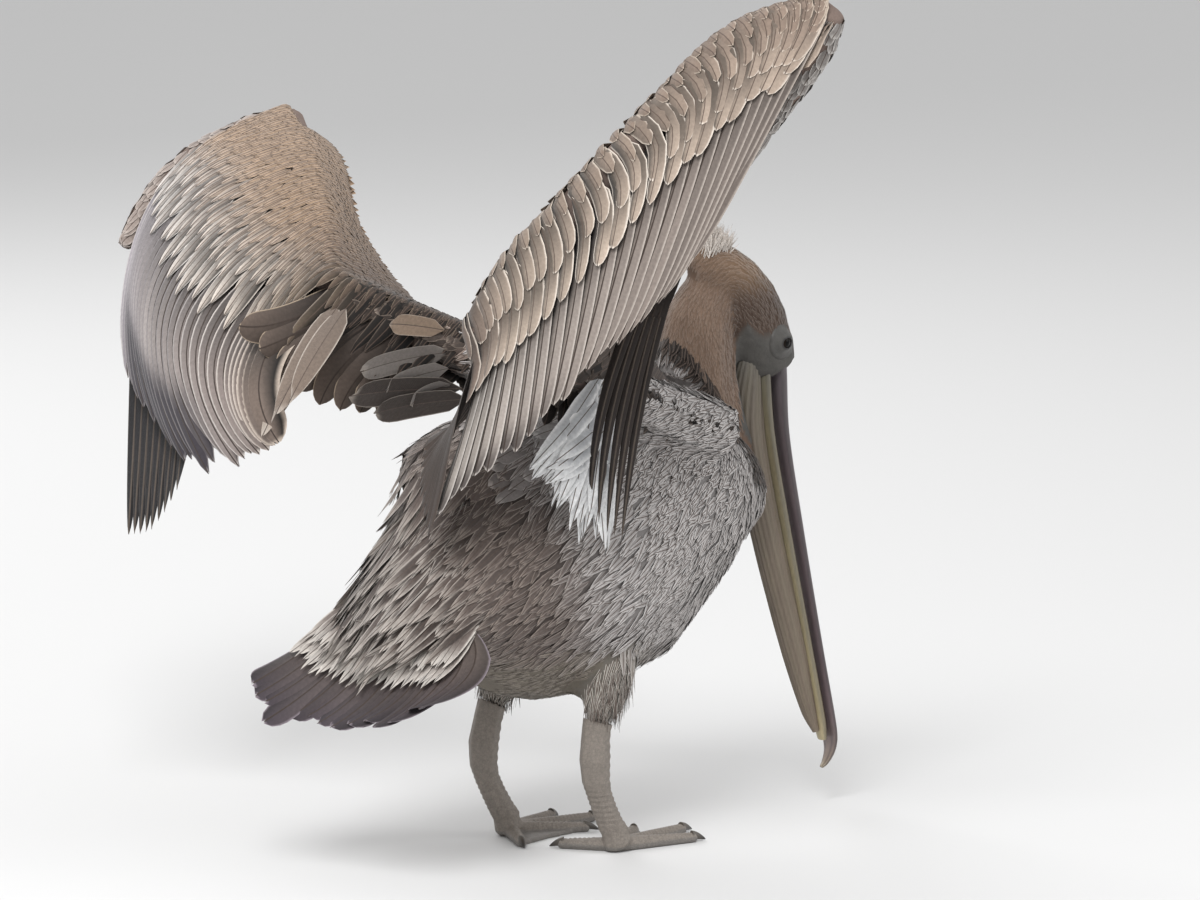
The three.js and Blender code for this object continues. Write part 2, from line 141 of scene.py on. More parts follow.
# Each wing's joints, the bowed line of its forearm and of its leading edge, and the middles and tips of its
# secondaries from elbow to wrist. fan crowds the tips towards the wrist. Primaries and tertials have their
# roots, middles and tips. scapular is where the wing's hind edge meets the body.
WINGS = {
    "right": {
        "shoulder": [92, -58, 312],
        "elbow": [-143, -74, 406],
        "wrist": [12, -274, 648],
        "hand_end": [-34, -201, 506],
        "forearm_bow": [[-126, -97, 455], [-100, -131, 504], [-67, -176, 564], [-27, -227, 626]],
        "fan": 0.34,
        "leading": [
            [60, -64, 338], [30, -60, 372], [-4, -86, 418],
            [-20, -130, 474], [-24, -178, 534], [-10, -229, 595],
        ],
        "middles": [
            [-160, -78, 355], [-153, -104, 388], [-137, -132, 424], [-110, -170, 480], [-77, -211, 540],
            [-44, -247, 590], [-14, -276, 618],
        ],
        "tips": [
            [-184, -68, 280], [-176, -96, 304], [-158, -128, 333], [-139, -155, 370], [-118, -180, 404],
            [-98, -209, 436], [-80, -228, 470],
        ],
        "primary_roots": [[-23, -221, 576], [-30, -210, 539], [-36, -199, 503]],
        "primary_middles": [[-64, -139, 409], [-57, -152, 412], [-51, -163, 413]],
        "primary_tips": [[-65, -100, 280], [-55, -109, 256], [-49, -121, 252]],
        "tertial_roots": [[-84, -66, 396], [-112, -70, 408], [-138, -76, 410]],
        "tertial_middles": [[-140, -52, 350], [-158, -60, 348], [-170, -74, 347]],
        "tertial_tips": [[-168, -34, 322], [-180, -46, 292], [-187, -64, 262]],
        "scapular": [0, -66, 276],
    },
    "left": {
        "shoulder": [92, 58, 312],
        "elbow": [-100, 163, 411],
        "wrist": [40, 394, 512],
        "hand_end": [-109, 413, 424],
        "forearm_bow": [[-50, 238, 446], [-3, 316, 482]],
        "fan": 0.0,
        "leading": [
            [76, 78, 330], [48, 117, 352], [13, 172, 378],
            [10, 226, 408], [22, 282, 441], [50, 347, 492],
        ],
        "middles": [
            [-164, 160, 362], [-168, 192, 366], [-160, 262, 388],
            [-140, 322, 410], [-112, 371, 440], [-80, 404, 466],
        ],
        "tips": [
            [-166, 138, 304], [-168, 156, 298], [-174, 198, 283],
            [-172, 255, 284], [-158, 315, 309], [-146, 371, 336],
        ],
        "primary_roots": [[-10, 392, 492], [-66, 396, 456], [-108, 400, 414]],
        "primary_middles": [[-100, 328, 350], [-121, 344, 338], [-134, 368, 330]],
        "primary_tips": [[-176, 255, 258], [-194, 266, 226], [-203, 286, 219]],
        "tertial_roots": [[-2, 106, 372], [-46, 128, 400], [-88, 152, 416]],
        "tertial_middles": [[-52, 120, 352], [-106, 138, 370], [-142, 160, 394]],
        "tertial_tips": [[-80, 128, 318], [-136, 142, 334], [-180, 172, 392]],
        "scapular": [-6, 72, 276],
    },
}
ARM_RADII = (27, 19, 15)  # at shoulder, elbow and wrist, feathers included

# The tail feathers' roots, middles and tips, from the bird's left to its right.
TAIL = {
    "roots": [[-176, 44, 190], [-166, -6, 190], [-142, -66, 184]],
    "middles": [[-222, 53, 165], [-208, 4, 152], [-188, -48, 150], [-160, -84, 160]],
    "tips": [
        [-266, 62, 144], [-266, 45, 122], [-244, 15, 114],
        [-236, -25, 114], [-228, -62, 126], [-212, -92, 146],
    ],
}

# ---- colours ----
HEX_COLOURS = {
    "neck": "#836c5b",
    "neck_shade": "#5f4b3d",
    "head": "#4c3a2e",
    "crown": "#84694f",
    # collar: partly dark feather edges, partly painted shadow of the crease between neck and shoulder
    "collar": "#2a221d",
    "foreneck": "#6d5341",
    "breast": "#a8a3a1",
    "breast_tip": "#dedad8",
    "flank": "#5a4f4a",
    "flank_tip": "#8f837b",
    "back": "#5d524d",
    "back_tip": "#a3968c",
    "belly": "#8d8477",
    "belly_tip": "#a89f92",
    "face": "#4d4b48",
    "thigh": "#8b857e",
    "thigh_tip": "#c9c4bc",
    "tail_covert": "#857a74",
    "tail_covert_tip": "#ddd6ce",
    "tail": "#443c43",
    "tail_edge": "#857b82",
    "white": "#e8e0d8",
    "axillary": "#cdcfd2",
    "axillary_tip": "#f2f2f2",
    "leg": "#827a72",
    "arm": "#85736a",
    "arm_tip": "#b3a499",
}
COLOURS = {name: linear(colour) for name, colour in HEX_COLOURS.items()}


# ---- markings: skin and coat both take their colours from here ----
def collar(p):
    """Distance past the border between the mottled shoulder and the tan neck, neck side positive."""
    forward = p[:, 0] + 0.85 * np.maximum(0, np.abs(p[:, 1]) - 45) * smooth(235, 275, p[:, 2])
    slant = (1.7 * (forward - 98) + p[:, 2] - 363) / 1.97
    return np.maximum(slant, p[:, 0] - 161)


def face_depth(p):
    """How far a point lies inside the bare skin of the face, in millimetres."""
    border = np.interp(p[:, 0], *FACE_BORDER)
    return np.where(p[:, 0] > 120, border - p[:, 2], -50.0)


def spine_share(p):
    """Where along the spine a point lies, 0 at the bill's root and 1 at the breast."""
    apart = ((p[:, None] - SPINE_POINTS[None]) ** 2).sum(-1)
    return apart.argmin(1) / (len(SPINE_POINTS) - 1)


def patches(p, size, seed):
    """Soft irregular patches over space, about -1 to 1."""
    random = np.random.default_rng(seed)
    total = np.zeros(len(p))
    for octave in range(3):
        ways = random.normal(size=(5, 3)) * 2.2 ** octave / size
        shifts = random.uniform(0, 2 * math.pi, 5)
        total += np.sin(p @ ways.T * 2 + shifts).sum(1) / 2.0 ** octave / 5
    return total


def markings(p, part):
    """Feather colour and feather-tip colour at points on the body, by place and by named part."""
    c = collar(p)
    aside = np.abs(p[:, 1])
    on_wing = np.isin(part, PART_NUMBERS["wing"])
    soft = patches(p, 26, 3)[:, None]
    # dark flanks and back, pale breast
    flank = mix(COLOURS["flank"], COLOURS["back"], 0.5 + 0.5 * soft)
    flank_tip = mix(COLOURS["flank_tip"], COLOURS["back_tip"], 0.5 + 0.5 * soft)
    forward = smooth(-80, 0, p[:, 0] + 0.25 * (p[:, 2] - 240) + 14 * soft[:, 0])[:, None]
    base = mix(flank, COLOURS["breast"], forward)
    tip = mix(flank_tip, COLOURS["breast_tip"], forward)
    # belly and thighs
    low = (smooth(172, 146, p[:, 2]) * smooth(80, 10, p[:, 0]))[:, None]
    base = mix(base, COLOURS["belly"], low)
    tip = mix(tip, COLOURS["belly_tip"], low)
    on_thigh = np.isin(part, PART_NUMBERS["thigh"])[:, None]
    base = np.where(on_thigh, mix(COLOURS["thigh"], COLOURS["belly"], 0.4), base)
    tip = np.where(on_thigh, COLOURS["thigh_tip"], tip)
    # pale tips on the rump, brown arms
    back = smooth(-100, -150, p[:, 0])[:, None]
    tip = mix(tip, COLOURS["tail_covert_tip"], 0.6 * back)
    on_arm = (on_wing & ((p[:, 0] < -10) | (aside > PALE_REACH - 2)))[:, None]
    base = np.where(on_arm, COLOURS["arm"], base)
    tip = np.where(on_arm, COLOURS["arm_tip"], tip)
    # tan neck with a darker front, dark head with a paler crown
    neck = mix(COLOURS["neck"], COLOURS["neck_shade"], 0.35 + 0.35 * soft)
    throat = np.interp(p[:, 2], [230, 300, 345, 385], [128, 124, 118, 124])
    front = smooth(8, 30, p[:, 0] - throat)[:, None]
    on_head = smooth(0.52, 0.34, spine_share(p))[:, None]
    neck = mix(neck, COLOURS["foreneck"], 0.75 * front * (1 - on_head))
    head = mix(COLOURS["head"], COLOURS["crown"], smooth(-10, 24, p[:, 2] - 408)[:, None])
    neck = mix(neck, head, on_head)
    on_neck = (~on_arm) & ((c > 0) & (aside < NECK_REACH))[:, None]
    tip = np.where(on_neck, mix(neck, COLOURS["white"], 0.12), tip)
    base = np.where(on_neck, neck, base)
    # the dark border between the two: partly dark feather edges, partly painted shadow in the crease where
    # the shoulder's feathers rise over the neck
    dark = smooth(-5, -2, c) * smooth(2.0, -0.5, c) * smooth(262, 285, p[:, 2])
    dark = (dark * ~on_wing * (aside < NECK_REACH))[:, None]
    return mix(base, COLOURS["collar"], dark), mix(tip, COLOURS["collar"], dark)


# ---- materials ----
def add(tree, kind, inputs=None, out=0, **settings):
    """Adds a shader node with its settings and its inputs, linked or set, and returns one of its outputs, or
    None where it has no output."""
    made = tree.nodes.new("ShaderNode" + kind)
    for key, value in settings.items():
        setattr(made, key, value)
    for key, value in (inputs or {}).items():
        if isinstance(value, bpy.types.NodeSocket):
            tree.links.new(value, made.inputs[key])
        else:
            made.inputs[key].default_value = value
    return made.outputs[out] if made.outputs else None


def rgba(colour):
    return (*linear(colour), 1.0)


FACTOR, FIRST, SECOND, MIXED = 0, 6, 7, 2  # sockets of a colour Mix node


def new_material(name):
    made = bpy.data.materials.new(name)
    made.use_nodes = True
    made.node_tree.nodes.clear()
    return made, made.node_tree


def finish_material(tree, colour, height, relief, roughness, **direct):
    """Puts colour and height into a Principled surface, with a bump of relief millimetres."""
    bump = add(tree, "Bump", {"Height": height, "Distance": relief * MM, "Strength": 1.0})
    inputs = {"Base Color": colour, "Normal": bump, "Roughness": roughness}
    inputs.update({key.replace("_", " "): value for key, value in direct.items()})
    add(tree, "OutputMaterial", {"Surface": add(tree, "BsdfPrincipled", inputs)})


def feather_material(name, shaft, shaft_width, barb_pitch, relief, roughness, sheen):
    """Feather keratin: barbs run out from the shaft at a slant, and the fringe is paler where it has worn.
    Widths, pitch and relief are in millimetres. Real barbs are under half a millimetre apart, too fine to
    show, so the pitches are drawn two or three times coarser."""
    made, tree = new_material(name)
    tint = add(tree, "Attribute", attribute_name="tint")
    edge = add(tree, "Attribute", attribute_name="edge")
    fringe = add(tree, "Attribute", attribute_name="edge", out=3)
    vane = add(tree, "UVMap", uv_map="Vane")
    across = add(tree, "SeparateXYZ", {0: vane})
    share = add(tree, "SeparateXYZ", {0: vane}, out=1)
    barbs = add(tree, "UVMap", uv_map="Barbs")
    wide = add(tree, "Math", {0: add(tree, "SeparateXYZ", {0: barbs})}, operation="ABSOLUTE")
    far = add(tree, "SeparateXYZ", {0: barbs}, out=1)
    outward = add(tree, "Math", {0: across}, operation="ABSOLUTE")
    rim = add(tree, "Math", {0: outward, 1: share}, operation="MAXIMUM")
    start = add(tree, "Math", {0: 1.0, 1: fringe}, operation="SUBTRACT")
    worn = add(tree, "MapRange", {0: rim, 1: start, 2: 1.0}, interpolation_type="SMOOTHSTEP")
    colour = add(tree, "Mix", {FACTOR: worn, FIRST: tint, SECOND: edge}, MIXED, data_type="RGBA")
    stem = add(tree, "MapRange", {0: wide, 1: shaft_width, 2: shaft_width * 0.5})
    colour = add(tree, "Mix", {FACTOR: stem, FIRST: colour, SECOND: rgba(shaft)}, MIXED, data_type="RGBA")
    swept = add(tree, "Math", {0: wide, 1: -1.3, 2: far}, operation="MULTIPLY_ADD")
    grain = add(tree, "TexNoise", {"Vector": barbs, "Scale": 0.35, "Detail": 3.0})
    wavy = add(tree, "Math", {0: grain, 1: 2.2, 2: swept}, operation="MULTIPLY_ADD")
    phase = add(tree, "Math", {0: wavy, 1: 2 * math.pi / barb_pitch}, operation="MULTIPLY")
    ripple = add(tree, "Math", {0: phase}, operation="SINE")
    dim = add(tree, "Math", {0: ripple, 1: 0.03, 2: 0.97}, operation="MULTIPLY_ADD")
    blotch = add(tree, "MapRange", {0: grain, 1: 0.3, 2: 0.7, 3: 0.86, 4: 1.1})
    dim = add(tree, "Math", {0: dim, 1: blotch}, operation="MULTIPLY")
    colour = add(tree, "VectorMath", {0: colour, "Scale": dim}, operation="SCALE")
    finish_material(
        tree, colour, ripple, relief, roughness,
        Sheen_Weight=sheen, Sheen_Roughness=0.5, Specular_IOR_Level=0.3,
    )
    return made


def surface_material(name, grain_size, relief, roughness, contrast=0.12, stretch=(1, 1, 1), **direct):
    """A surface whose colour comes from its tint, mottled by grain of the given size in millimetres."""
    made, tree = new_material(name)
    tint = add(tree, "Attribute", attribute_name="tint")
    place = add(tree, "TexCoord", out=3)
    place = add(tree, "VectorMath", {0: place, 1: stretch}, operation="MULTIPLY")
    fine = add(tree, "TexNoise", {"Vector": place, "Scale": 1 / (grain_size * MM), "Detail": 5.0})
    broad = add(tree, "TexNoise", {"Vector": place, "Scale": 0.12 / (grain_size * MM), "Detail": 2.0})
    both = add(tree, "Math", {0: fine, 1: broad}, operation="ADD")
    dim = add(tree, "MapRange", {0: both, 1: 0.6, 2: 1.4, 3: 1 - contrast, 4: 1 + contrast})
    colour = add(tree, "VectorMath", {0: tint, "Scale": dim}, operation="SCALE")
    finish_material(tree, colour, fine, relief, roughness, **direct)
    return made


def scale_material(name, size, relief, roughness):
    """Bare leg skin: small rounded horny scales with darker skin in the seams between them."""
    made, tree = new_material(name)
    tint = add(tree, "Attribute", attribute_name="tint")
    place = add(tree, "TexCoord", out=3)
    cells = {"Vector": place, "Scale": 1 / (size * MM)}
    seams = add(tree, "TexVoronoi", cells, feature="DISTANCE_TO_EDGE")
    scale = add(tree, "MapRange", {0: seams, 1: 0.0, 2: 0.16}, interpolation_type="SMOOTHSTEP")
    grain = add(tree, "TexNoise", {"Vector": place, "Scale": 350.0, "Detail": 4.0})
    dim = add(tree, "MapRange", {0: scale, 3: 0.86, 4: 1.03})
    soil = add(tree, "MapRange", {0: grain, 1: 0.3, 2: 0.7, 3: 0.85, 4: 1.12})
    dim = add(tree, "Math", {0: dim, 1: soil}, operation="MULTIPLY")
    colour = add(tree, "VectorMath", {0: tint, "Scale": dim}, operation="SCALE")
    finish_material(tree, colour, scale, relief, roughness)
    return made


# Contour feathers are soft at the edge and matt, with no gloss of their own.
CONTOUR = feather_material("contour_feather_vane", "#5a4d46", 0.45, 1.5, 0.10, 0.82, 0.25)
# Wing coverts are firmer, with a dark shaft and close barbs that catch a little light.
COVERT = feather_material("wing_covert_vane", "#5b4c43", 0.5, 1.1, 0.05, 0.7, 0.15)
# Flight feathers are stiff vanes with a thick shaft and a faint silky gloss.
FLIGHT = feather_material("flight_feather_vane", "#40352f", 0.8, 1.3, 0.05, 0.6, 0.1)
# Primaries are nearly black with a paler horn shaft.
PRIMARY = feather_material("primary_feather_vane", "#5d534b", 0.9, 1.3, 0.05, 0.5, 0.05)
# Down on head and neck is velvety: it scatters light at its tips.
VELVET = feather_material("neck_down", "#6b5546", 0.05, 0.8, 0.03, 0.9, 0.4)
# Skin under the coat is dull, and shows only between feathers.
SKIN = surface_material("feathered_skin", 1.6, 0.25, 0.85, 0.15)
# Bare face and lid skin is leathery, finely wrinkled and slightly waxy.
FACE_SKIN = surface_material("bare_face_skin", 0.9, 0.18, 0.5, 0.16)
# The bill's horn sheath is hard and satin, streaked along its length and scuffed.
HORN = surface_material("bill_horn_sheath", 1.2, 0.08, 0.36, 0.2, (1, 1, 0.09), Coat_Weight=0.08)
# The pouch is thin rubbery skin, gathered in long fine pleats.
POUCH_SKIN = surface_material("gular_pouch_skin", 1.1, 0.3, 0.5, 0.16, (1, 1, 0.12))
# Leg skin is dry, with small scales.
LEG_SKIN = scale_material("scaled_leg_skin", 2.0, 0.16, 0.6)
# Claws are dark polished horn.
CLAW_HORN = surface_material("claw_horn", 0.8, 0.05, 0.32, 0.2)
# The eye is wet and smooth as glass. Its reflections are kept faint, so that the dark iris reads.
EYE = surface_material("wet_eye", 0.5, 0.0, 0.1, 0.2, Specular_IOR_Level=0.1)


# ---- meshes ----
def colour_layer(mesh, name, colours):
    """A colour for each vertex, of 3 or 4 numbers."""
    whole = np.ones((len(mesh.vertices), 4), np.float32)
    whole[:, : colours.shape[-1]] = colours
    mesh.attributes.new(name, "FLOAT_COLOR", "POINT").data.foreach_set("color", whole.ravel())


def new_piece(name, points, faces, material, replaces=(), sharp=55):
    """A mesh object of the bird from points in bird millimetres. faces is a list of corners for each face, or
    a pair of arrays: all the corners, and each face's number of them."""
    if isinstance(faces, list):
        faces = np.concatenate([np.asarray(face) for face in faces]), np.array([len(face) for face in faces])
    corners, sizes = faces
    mesh = bpy.data.meshes.new(name)
    mesh.vertices.add(len(points))
    mesh.vertices.foreach_set("co", (points * MM + ORIGIN).astype(np.float32).ravel())
    mesh.loops.add(len(corners))
    mesh.loops.foreach_set("vertex_index", corners.astype(np.int32))
    mesh.polygons.add(len(sizes))
    starts = np.r_[0, np.cumsum(sizes)[:-1]]
    mesh.polygons.foreach_set("loop_start", starts.astype(np.int32))
    mesh.update(calc_edges=True)
    mesh.polygons.foreach_set("use_smooth", np.ones(len(sizes), bool))
    mesh.set_sharp_from_angle(angle=math.radians(sharp))
    mesh.materials.append(material)
    made = bpy.data.objects.new(name, mesh)
    bpy.context.scene.collection.objects.link(made)
    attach(made, "root")
    if replaces:
        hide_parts(*replaces)
    return made


def ring_faces(rings, sides, closed_ends=True):
    """Faces of a tube of rings, with its ends closed by one face each."""
    faces = []
    for i in range(rings - 1):
        for k in range(sides):
            a, b = i * sides + k, i * sides + (k + 1) % sides
            faces.append([a, b, b + sides, a + sides])
    if closed_ends:
        faces.append(list(range(sides))[::-1])
        faces.append([(rings - 1) * sides + k for k in range(sides)])
    return faces


def vane_faces(rows, columns):
    """Faces of a thin closed vane whose rows are rings: the top's columns, then back along the underside."""
    ring = 2 * columns - 2
    faces = ring_faces(rows, ring, closed_ends=False)

    def under(j):
        return j if j in (0, columns - 1) else ring - j

    for row, order in ((0, 1), (rows - 1, -1)):
        for j in range(columns - 1):
            loop = list(dict.fromkeys([j, under(j), under(j + 1), j + 1]))[::order]
            faces.append([row * ring + k for k in loop])
    return faces


def rows_of(count, crowd=1.5):
    """Shares along a feather, closer together towards its tip."""
    return 1 - (1 - np.linspace(0, 1, count)) ** crowd


def taper(v, start, power):
    """1 up to start, then less and less towards the tip."""
    return 1 - np.maximum(0, (v - start) / (1 - start)) ** power


# Half width of each shape of feather along its length, 1 at the widest.
OUTLINES = {
    "round": lambda v: v / (v + 0.05) * np.sqrt(np.maximum(taper(v, 0.66, 2.4), 0.012)),
    "point": lambda v: v / (v + 0.08) * np.maximum(1 - v**2.6, 0) ** 0.75 + 0.04,
    "strap": lambda v: np.minimum(1, 0.4 + 2.4 * v) * np.sqrt(np.maximum(taper(v, 0.86, 2.2), 0.012)),
    "blade": lambda v: np.minimum(1, 0.35 + 2.2 * v) * np.maximum(taper(v, 0.4, 2), 0) ** 0.7 + 0.05,
    "hair": lambda v: np.maximum(1 - v, 0) ** 0.7 + 0.06,
}
MOST_TRIANGLES = 180000  # in one piece of the coat


class Coat:
    """Feathers gathered into mesh objects that share one material."""

    def __init__(self, name, material, slot, replaces=()):
        self.name = name
        self.material = material
        self.slot = slot
        self.replaces = replaces
        self.parts = []

    def add(
        self, path, normal, over, half, shape, v, tint, edge, place, columns=5, cup=0.12, slope=0.0,
        thick=0.5, rib=0.0, fray=0.0, patch=0.003, seed=0, even_rim=False,
    ):
        """Adds n feathers. path, normal and over (the vane's outer side) are (n, R, 3), half is (n,), or
        (n, 2) for the inner and outer half widths, v is each row's share of the length, and place is where
        the bake patch lies. With even_rim the fringe is as wide at the tip as it is at the sides."""
        n, rows = path.shape[:2]
        if not n:
            return
        random = np.random.default_rng(seed)
        u = np.linspace(-1, 1, columns) if isinstance(columns, int) else columns
        columns = len(u)
        half = np.asarray(half, float)
        half = np.stack([half, half], 1) if half.ndim == 1 else half
        reach = np.where(u < 0, half[:, :1], half[:, 1:])[:, None]
        wide = OUTLINES[shape](v)[None, :, None] * reach * u
        along = unit(np.gradient(path, axis=1))
        steps = np.linalg.norm(np.diff(path, axis=1), axis=2)
        far = np.concatenate([np.zeros((n, 1)), np.cumsum(steps, axis=1)], axis=1)
        back = fray * far[:, -1:, None] * random.random((n, 1, columns)) * v[None, :, None] ** 3
        high = slope * wide - cup * wide**2 / reach.max()
        middle = path[:, :, None] + over[:, :, None] * wide[..., None] - along[:, :, None] * back[..., None]
        middle = middle + normal[:, :, None] * high[..., None]
        lens = thick / 2 * (1 - u**2)[None, None] * (1 - 0.5 * v)[None, :, None]
        ridge = rib * (np.abs(u) < 0.03)[None, None] * (1 - 0.8 * v)[None, :, None]
        top = middle + normal[:, :, None] * (lens + ridge)[..., None]
        under = middle - normal[:, :, None] * lens[..., None]
        ring = np.r_[np.arange(columns), np.arange(columns - 2, 0, -1)]
        points = np.concatenate([top, under[:, :, columns - 2 : 0 : -1]], axis=2)
        shape_of = (n, rows, len(ring))
        tint = np.broadcast_to(tint, (n, rows, columns, 3))[:, :, ring]
        edge = np.broadcast_to(np.asarray(edge)[:, None, None], (*shape_of, 4))
        tipward = 1 - (far[:, -1:] - far) / reach.max() if even_rim else np.broadcast_to(v, (n, rows))
        vane = np.stack([np.broadcast_to(a, shape_of) for a in (u[ring], tipward[..., None])], -1)
        barbs = np.stack([wide[:, :, ring], np.broadcast_to(far[:, :, None], shape_of)], -1)
        spot = np.stack([0.5 * u[ring][None] + 0 * v[:, None], v[:, None] - 0.5 + 0 * u[ring][None]], -1)
        bake = np.asarray(place)[:, None, None] + np.asarray(patch) * spot[None]
        faces = vane_faces(rows, columns)
        if (np.cross(over, along) * normal).sum(-1).mean() < 0:
            faces = [face[::-1] for face in faces]
        sizes = np.array([len(face) for face in faces])
        triangles = int((sizes - 2).sum())
        chunk = max(1, MOST_TRIANGLES // 3 // triangles)
        for first in range(0, n, chunk):
            some = slice(first, first + chunk)
            count = len(points[some])
            per = rows * len(ring)
            corners = (np.concatenate(faces)[None] + np.arange(count)[:, None] * per).ravel()
            layers = [a[some].reshape(count * per, -1) for a in (points, tint, edge, vane, barbs, bake)]
            self.parts.append((count * triangles, corners, np.tile(sizes, count), layers))

    def build(self):
        """Makes the mesh objects, each within the limit on triangles."""
        groups = [[]]
        held = 0
        for part in self.parts:
            if held + part[0] > MOST_TRIANGLES:
                groups.append([])
                held = 0
            groups[-1].append(part)
            held += part[0]
        made = []
        for number, group in enumerate(groups):
            name = self.name if len(groups) == 1 else f"{self.name}_{number + 1}"
            counts = np.r_[0, np.cumsum([len(part[3][0]) for part in group])]
            corners = np.concatenate([part[1] + start for part, start in zip(group, counts)])
            sizes = np.concatenate([part[2] for part in group])
            points, tint, edge, *maps = (np.concatenate(layer) for layer in zip(*(part[3] for part in group)))
            replaces = self.replaces if number == 0 else ()
            piece = new_piece(name, points, (corners, sizes), self.material, replaces)
            colour_layer(piece.data, "tint", tint)
            colour_layer(piece.data, "edge", edge)
            for title, values in zip(("Vane", "Barbs", "OFBake"), maps):
                layer = piece.data.uv_layers.new(name=title, do_init=False)
                layer.uv.foreach_set("vector", values[corners].astype(np.float32).ravel())
            made.append(piece)
        return made


def shaded(n, v, u, root, tip, inner=1.0, jitter=0.06, seed=0, streak=0.0):
    """Colours (n, R, C, 3) that run from root to tip, multiplied by inner on the vane's inner side as painted
    shade where the neighbouring feather overlaps it, and darker by streak along its middle."""
    random = np.random.default_rng(seed)
    root, tip = (np.broadcast_to(colour, (n, 3)) for colour in (root, tip))
    colours = mix(root[:, None], tip[:, None], (v**1.3)[None, :, None])[:, :, None]
    bright = 1 + jitter * random.normal(size=(n, 1, 1, 1))
    side = mix(inner, 1.0, smooth(-0.7, -0.05, u)) * (1 - streak * smooth(0.8, 0.1, np.abs(u)))
    return colours * bright * side[None, None, :, None]


def edged(n, colour, fringe):
    """Fringe colours (n, 4), with the fringe's share of the vane as the fourth number."""
    whole = np.ones((n, 4))
    whole[:, :3] = colour
    whole[:, 3] = fringe
    return whole


# ---- skin ----
FLESH = ["trunk", "neck_lower", "neck_upper", "head"]
for side_name in SIDES:
    FLESH += [f"{limb}_{side_name}" for limb in ("thigh", "upper_arm", "forearm", "hand", "wing_web")]
# Places in FLESH of the parts that share markings.
PART_NUMBERS = {
    "neck": [i for i, name in enumerate(FLESH) if name.startswith(("neck", "head"))],
    "thigh": [i for i, name in enumerate(FLESH) if name.startswith("thigh")],
    "wing": [i for i, name in enumerate(FLESH) if name.startswith(("forearm", "hand", "wing", "upper"))],
}
# Depth of the coat over each part, and so of the skin inside the solids.
COAT_DEPTHS = {
    "trunk": 6.0, "neck_lower": 3.5, "neck_upper": 3.0, "head": 2.0, "thigh": 4.0,
    "upper_arm": 4.5, "forearm": 4.0, "hand": 2.5, "wing_web": 1.0,
}
BODY_VOXEL = 2.8
LEG_VOXEL = 1.15


def joined(names):
    """The triangles of several CAD nodes as one mesh in bird millimetres: points and faces."""
    points, faces, start = [], [], 0
    for name in names:
        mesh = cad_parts[name].data
        co = np.empty(len(mesh.vertices) * 3, np.float32)
        mesh.vertices.foreach_get("co", co)
        points.append((co.reshape(-1, 3) - ORIGIN) / MM)
        faces += [[start + k for k in polygon.vertices] for polygon in mesh.polygons]
        start += len(mesh.vertices)
    return np.concatenate(points), faces


def remeshed(points, faces, voxel):
    """One even closed mesh round several overlapping or touching ones: points and quads."""
    mesh = bpy.data.meshes.new("remesh")
    mesh.from_pydata(points.tolist(), [], faces)
    made = bpy.data.objects.new("remesh", mesh)
    bpy.context.scene.collection.objects.link(made)
    remesh = made.modifiers.new("remesh", "REMESH")
    remesh.mode = "VOXEL"
    remesh.voxel_size = voxel
    done = made.evaluated_get(bpy.context.evaluated_depsgraph_get()).to_mesh()
    co = np.empty(len(done.vertices) * 3, np.float32)
    done.vertices.foreach_get("co", co)
    corners = np.empty(len(done.loops), np.int32)
    done.loops.foreach_get("vertex_index", corners)
    sizes = np.empty(len(done.polygons), np.int32)
    done.polygons.foreach_get("loop_total", sizes)
    bpy.data.objects.remove(made)
    bpy.data.meshes.remove(mesh)
    if (sizes != 4).any():
        raise ValueError("the remeshed skin has faces that aren't quads")
    return co.reshape(-1, 3).astype(float), corners.reshape(-1, 4)


def edges_of(quads):
    pairs = np.concatenate([quads[:, [k, (k + 1) % 4]] for k in range(4)])
    return np.unique(np.sort(pairs, axis=1), axis=0)


def spread_even(values, edges, share):
    """Moves each value a share of the way to the mean of its neighbours."""
    total = np.zeros_like(values)
    for a, b in ((0, 1), (1, 0)):
        for axis in range(values.shape[1]):
            total[:, axis] += np.bincount(edges[:, a], values[edges[:, b], axis], len(values))
    count = np.bincount(edges.ravel(), minlength=len(values))[:, None]
    return values + share * (total / np.maximum(count, 1) - values)


def smoothed(points, quads, rounds):
    """Smooths without shrinking: a step in and a step out in turn."""
    edges = edges_of(quads)
    for _ in range(rounds):
        points = spread_even(points, edges, 0.6)
        points = spread_even(points, edges, -0.62)
    return spread_even(points, edges, 0.5)


def normals_of(points, quads):
    across = np.cross(points[quads[:, 2]] - points[quads[:, 0]], points[quads[:, 3]] - points[quads[:, 1]])
    total = np.zeros_like(points)
    for k in range(4):
        for axis in range(3):
            total[:, axis] += np.bincount(quads[:, k], across[:, axis], len(points))
    return unit(total)


def nearest_part(points, names):
    """The number of the CAD node nearest to each point."""
    best = np.full(len(points), 1e9)
    found = np.zeros(len(points), int)
    for number, name in enumerate(names):
        co, faces = joined([name])
        tree = BVHTree.FromPolygons(co.tolist(), faces)
        inside = ((points > co.min(0) - 12) & (points < co.max(0) + 12)).all(1)
        for i in np.flatnonzero(inside):
            apart = tree.find_nearest(Vector(points[i]))[3]
            if apart is not None and apart < best[i]:
                best[i] = apart
                found[i] = number
    return found


body, body_quads = remeshed(*joined(FLESH), BODY_VOXEL)
skin_part = nearest_part(body, FLESH)
body = smoothed(body, body_quads, 9)
depths = np.array([next(d for key, d in COAT_DEPTHS.items() if name.startswith(key)) for name in FLESH])
depth = depths[skin_part][:, None]
body_edges = edges_of(body_quads)
for _ in range(8):
    depth = spread_even(depth, body_edges, 0.6)
bare = smooth(-3, 5, face_depth(body))[:, None] * np.isin(skin_part, PART_NUMBERS["neck"])[:, None]
depth = depth * (1 - 0.85 * bare)
body = body - normals_of(body, body_quads) * depth
body = smoothed(body, body_quads, 2)
body_normals = normals_of(body, body_quads)

skin_tree = KDTree(len(body))
for i, p in enumerate(body):
    skin_tree.insert(p, i)
skin_tree.balance()


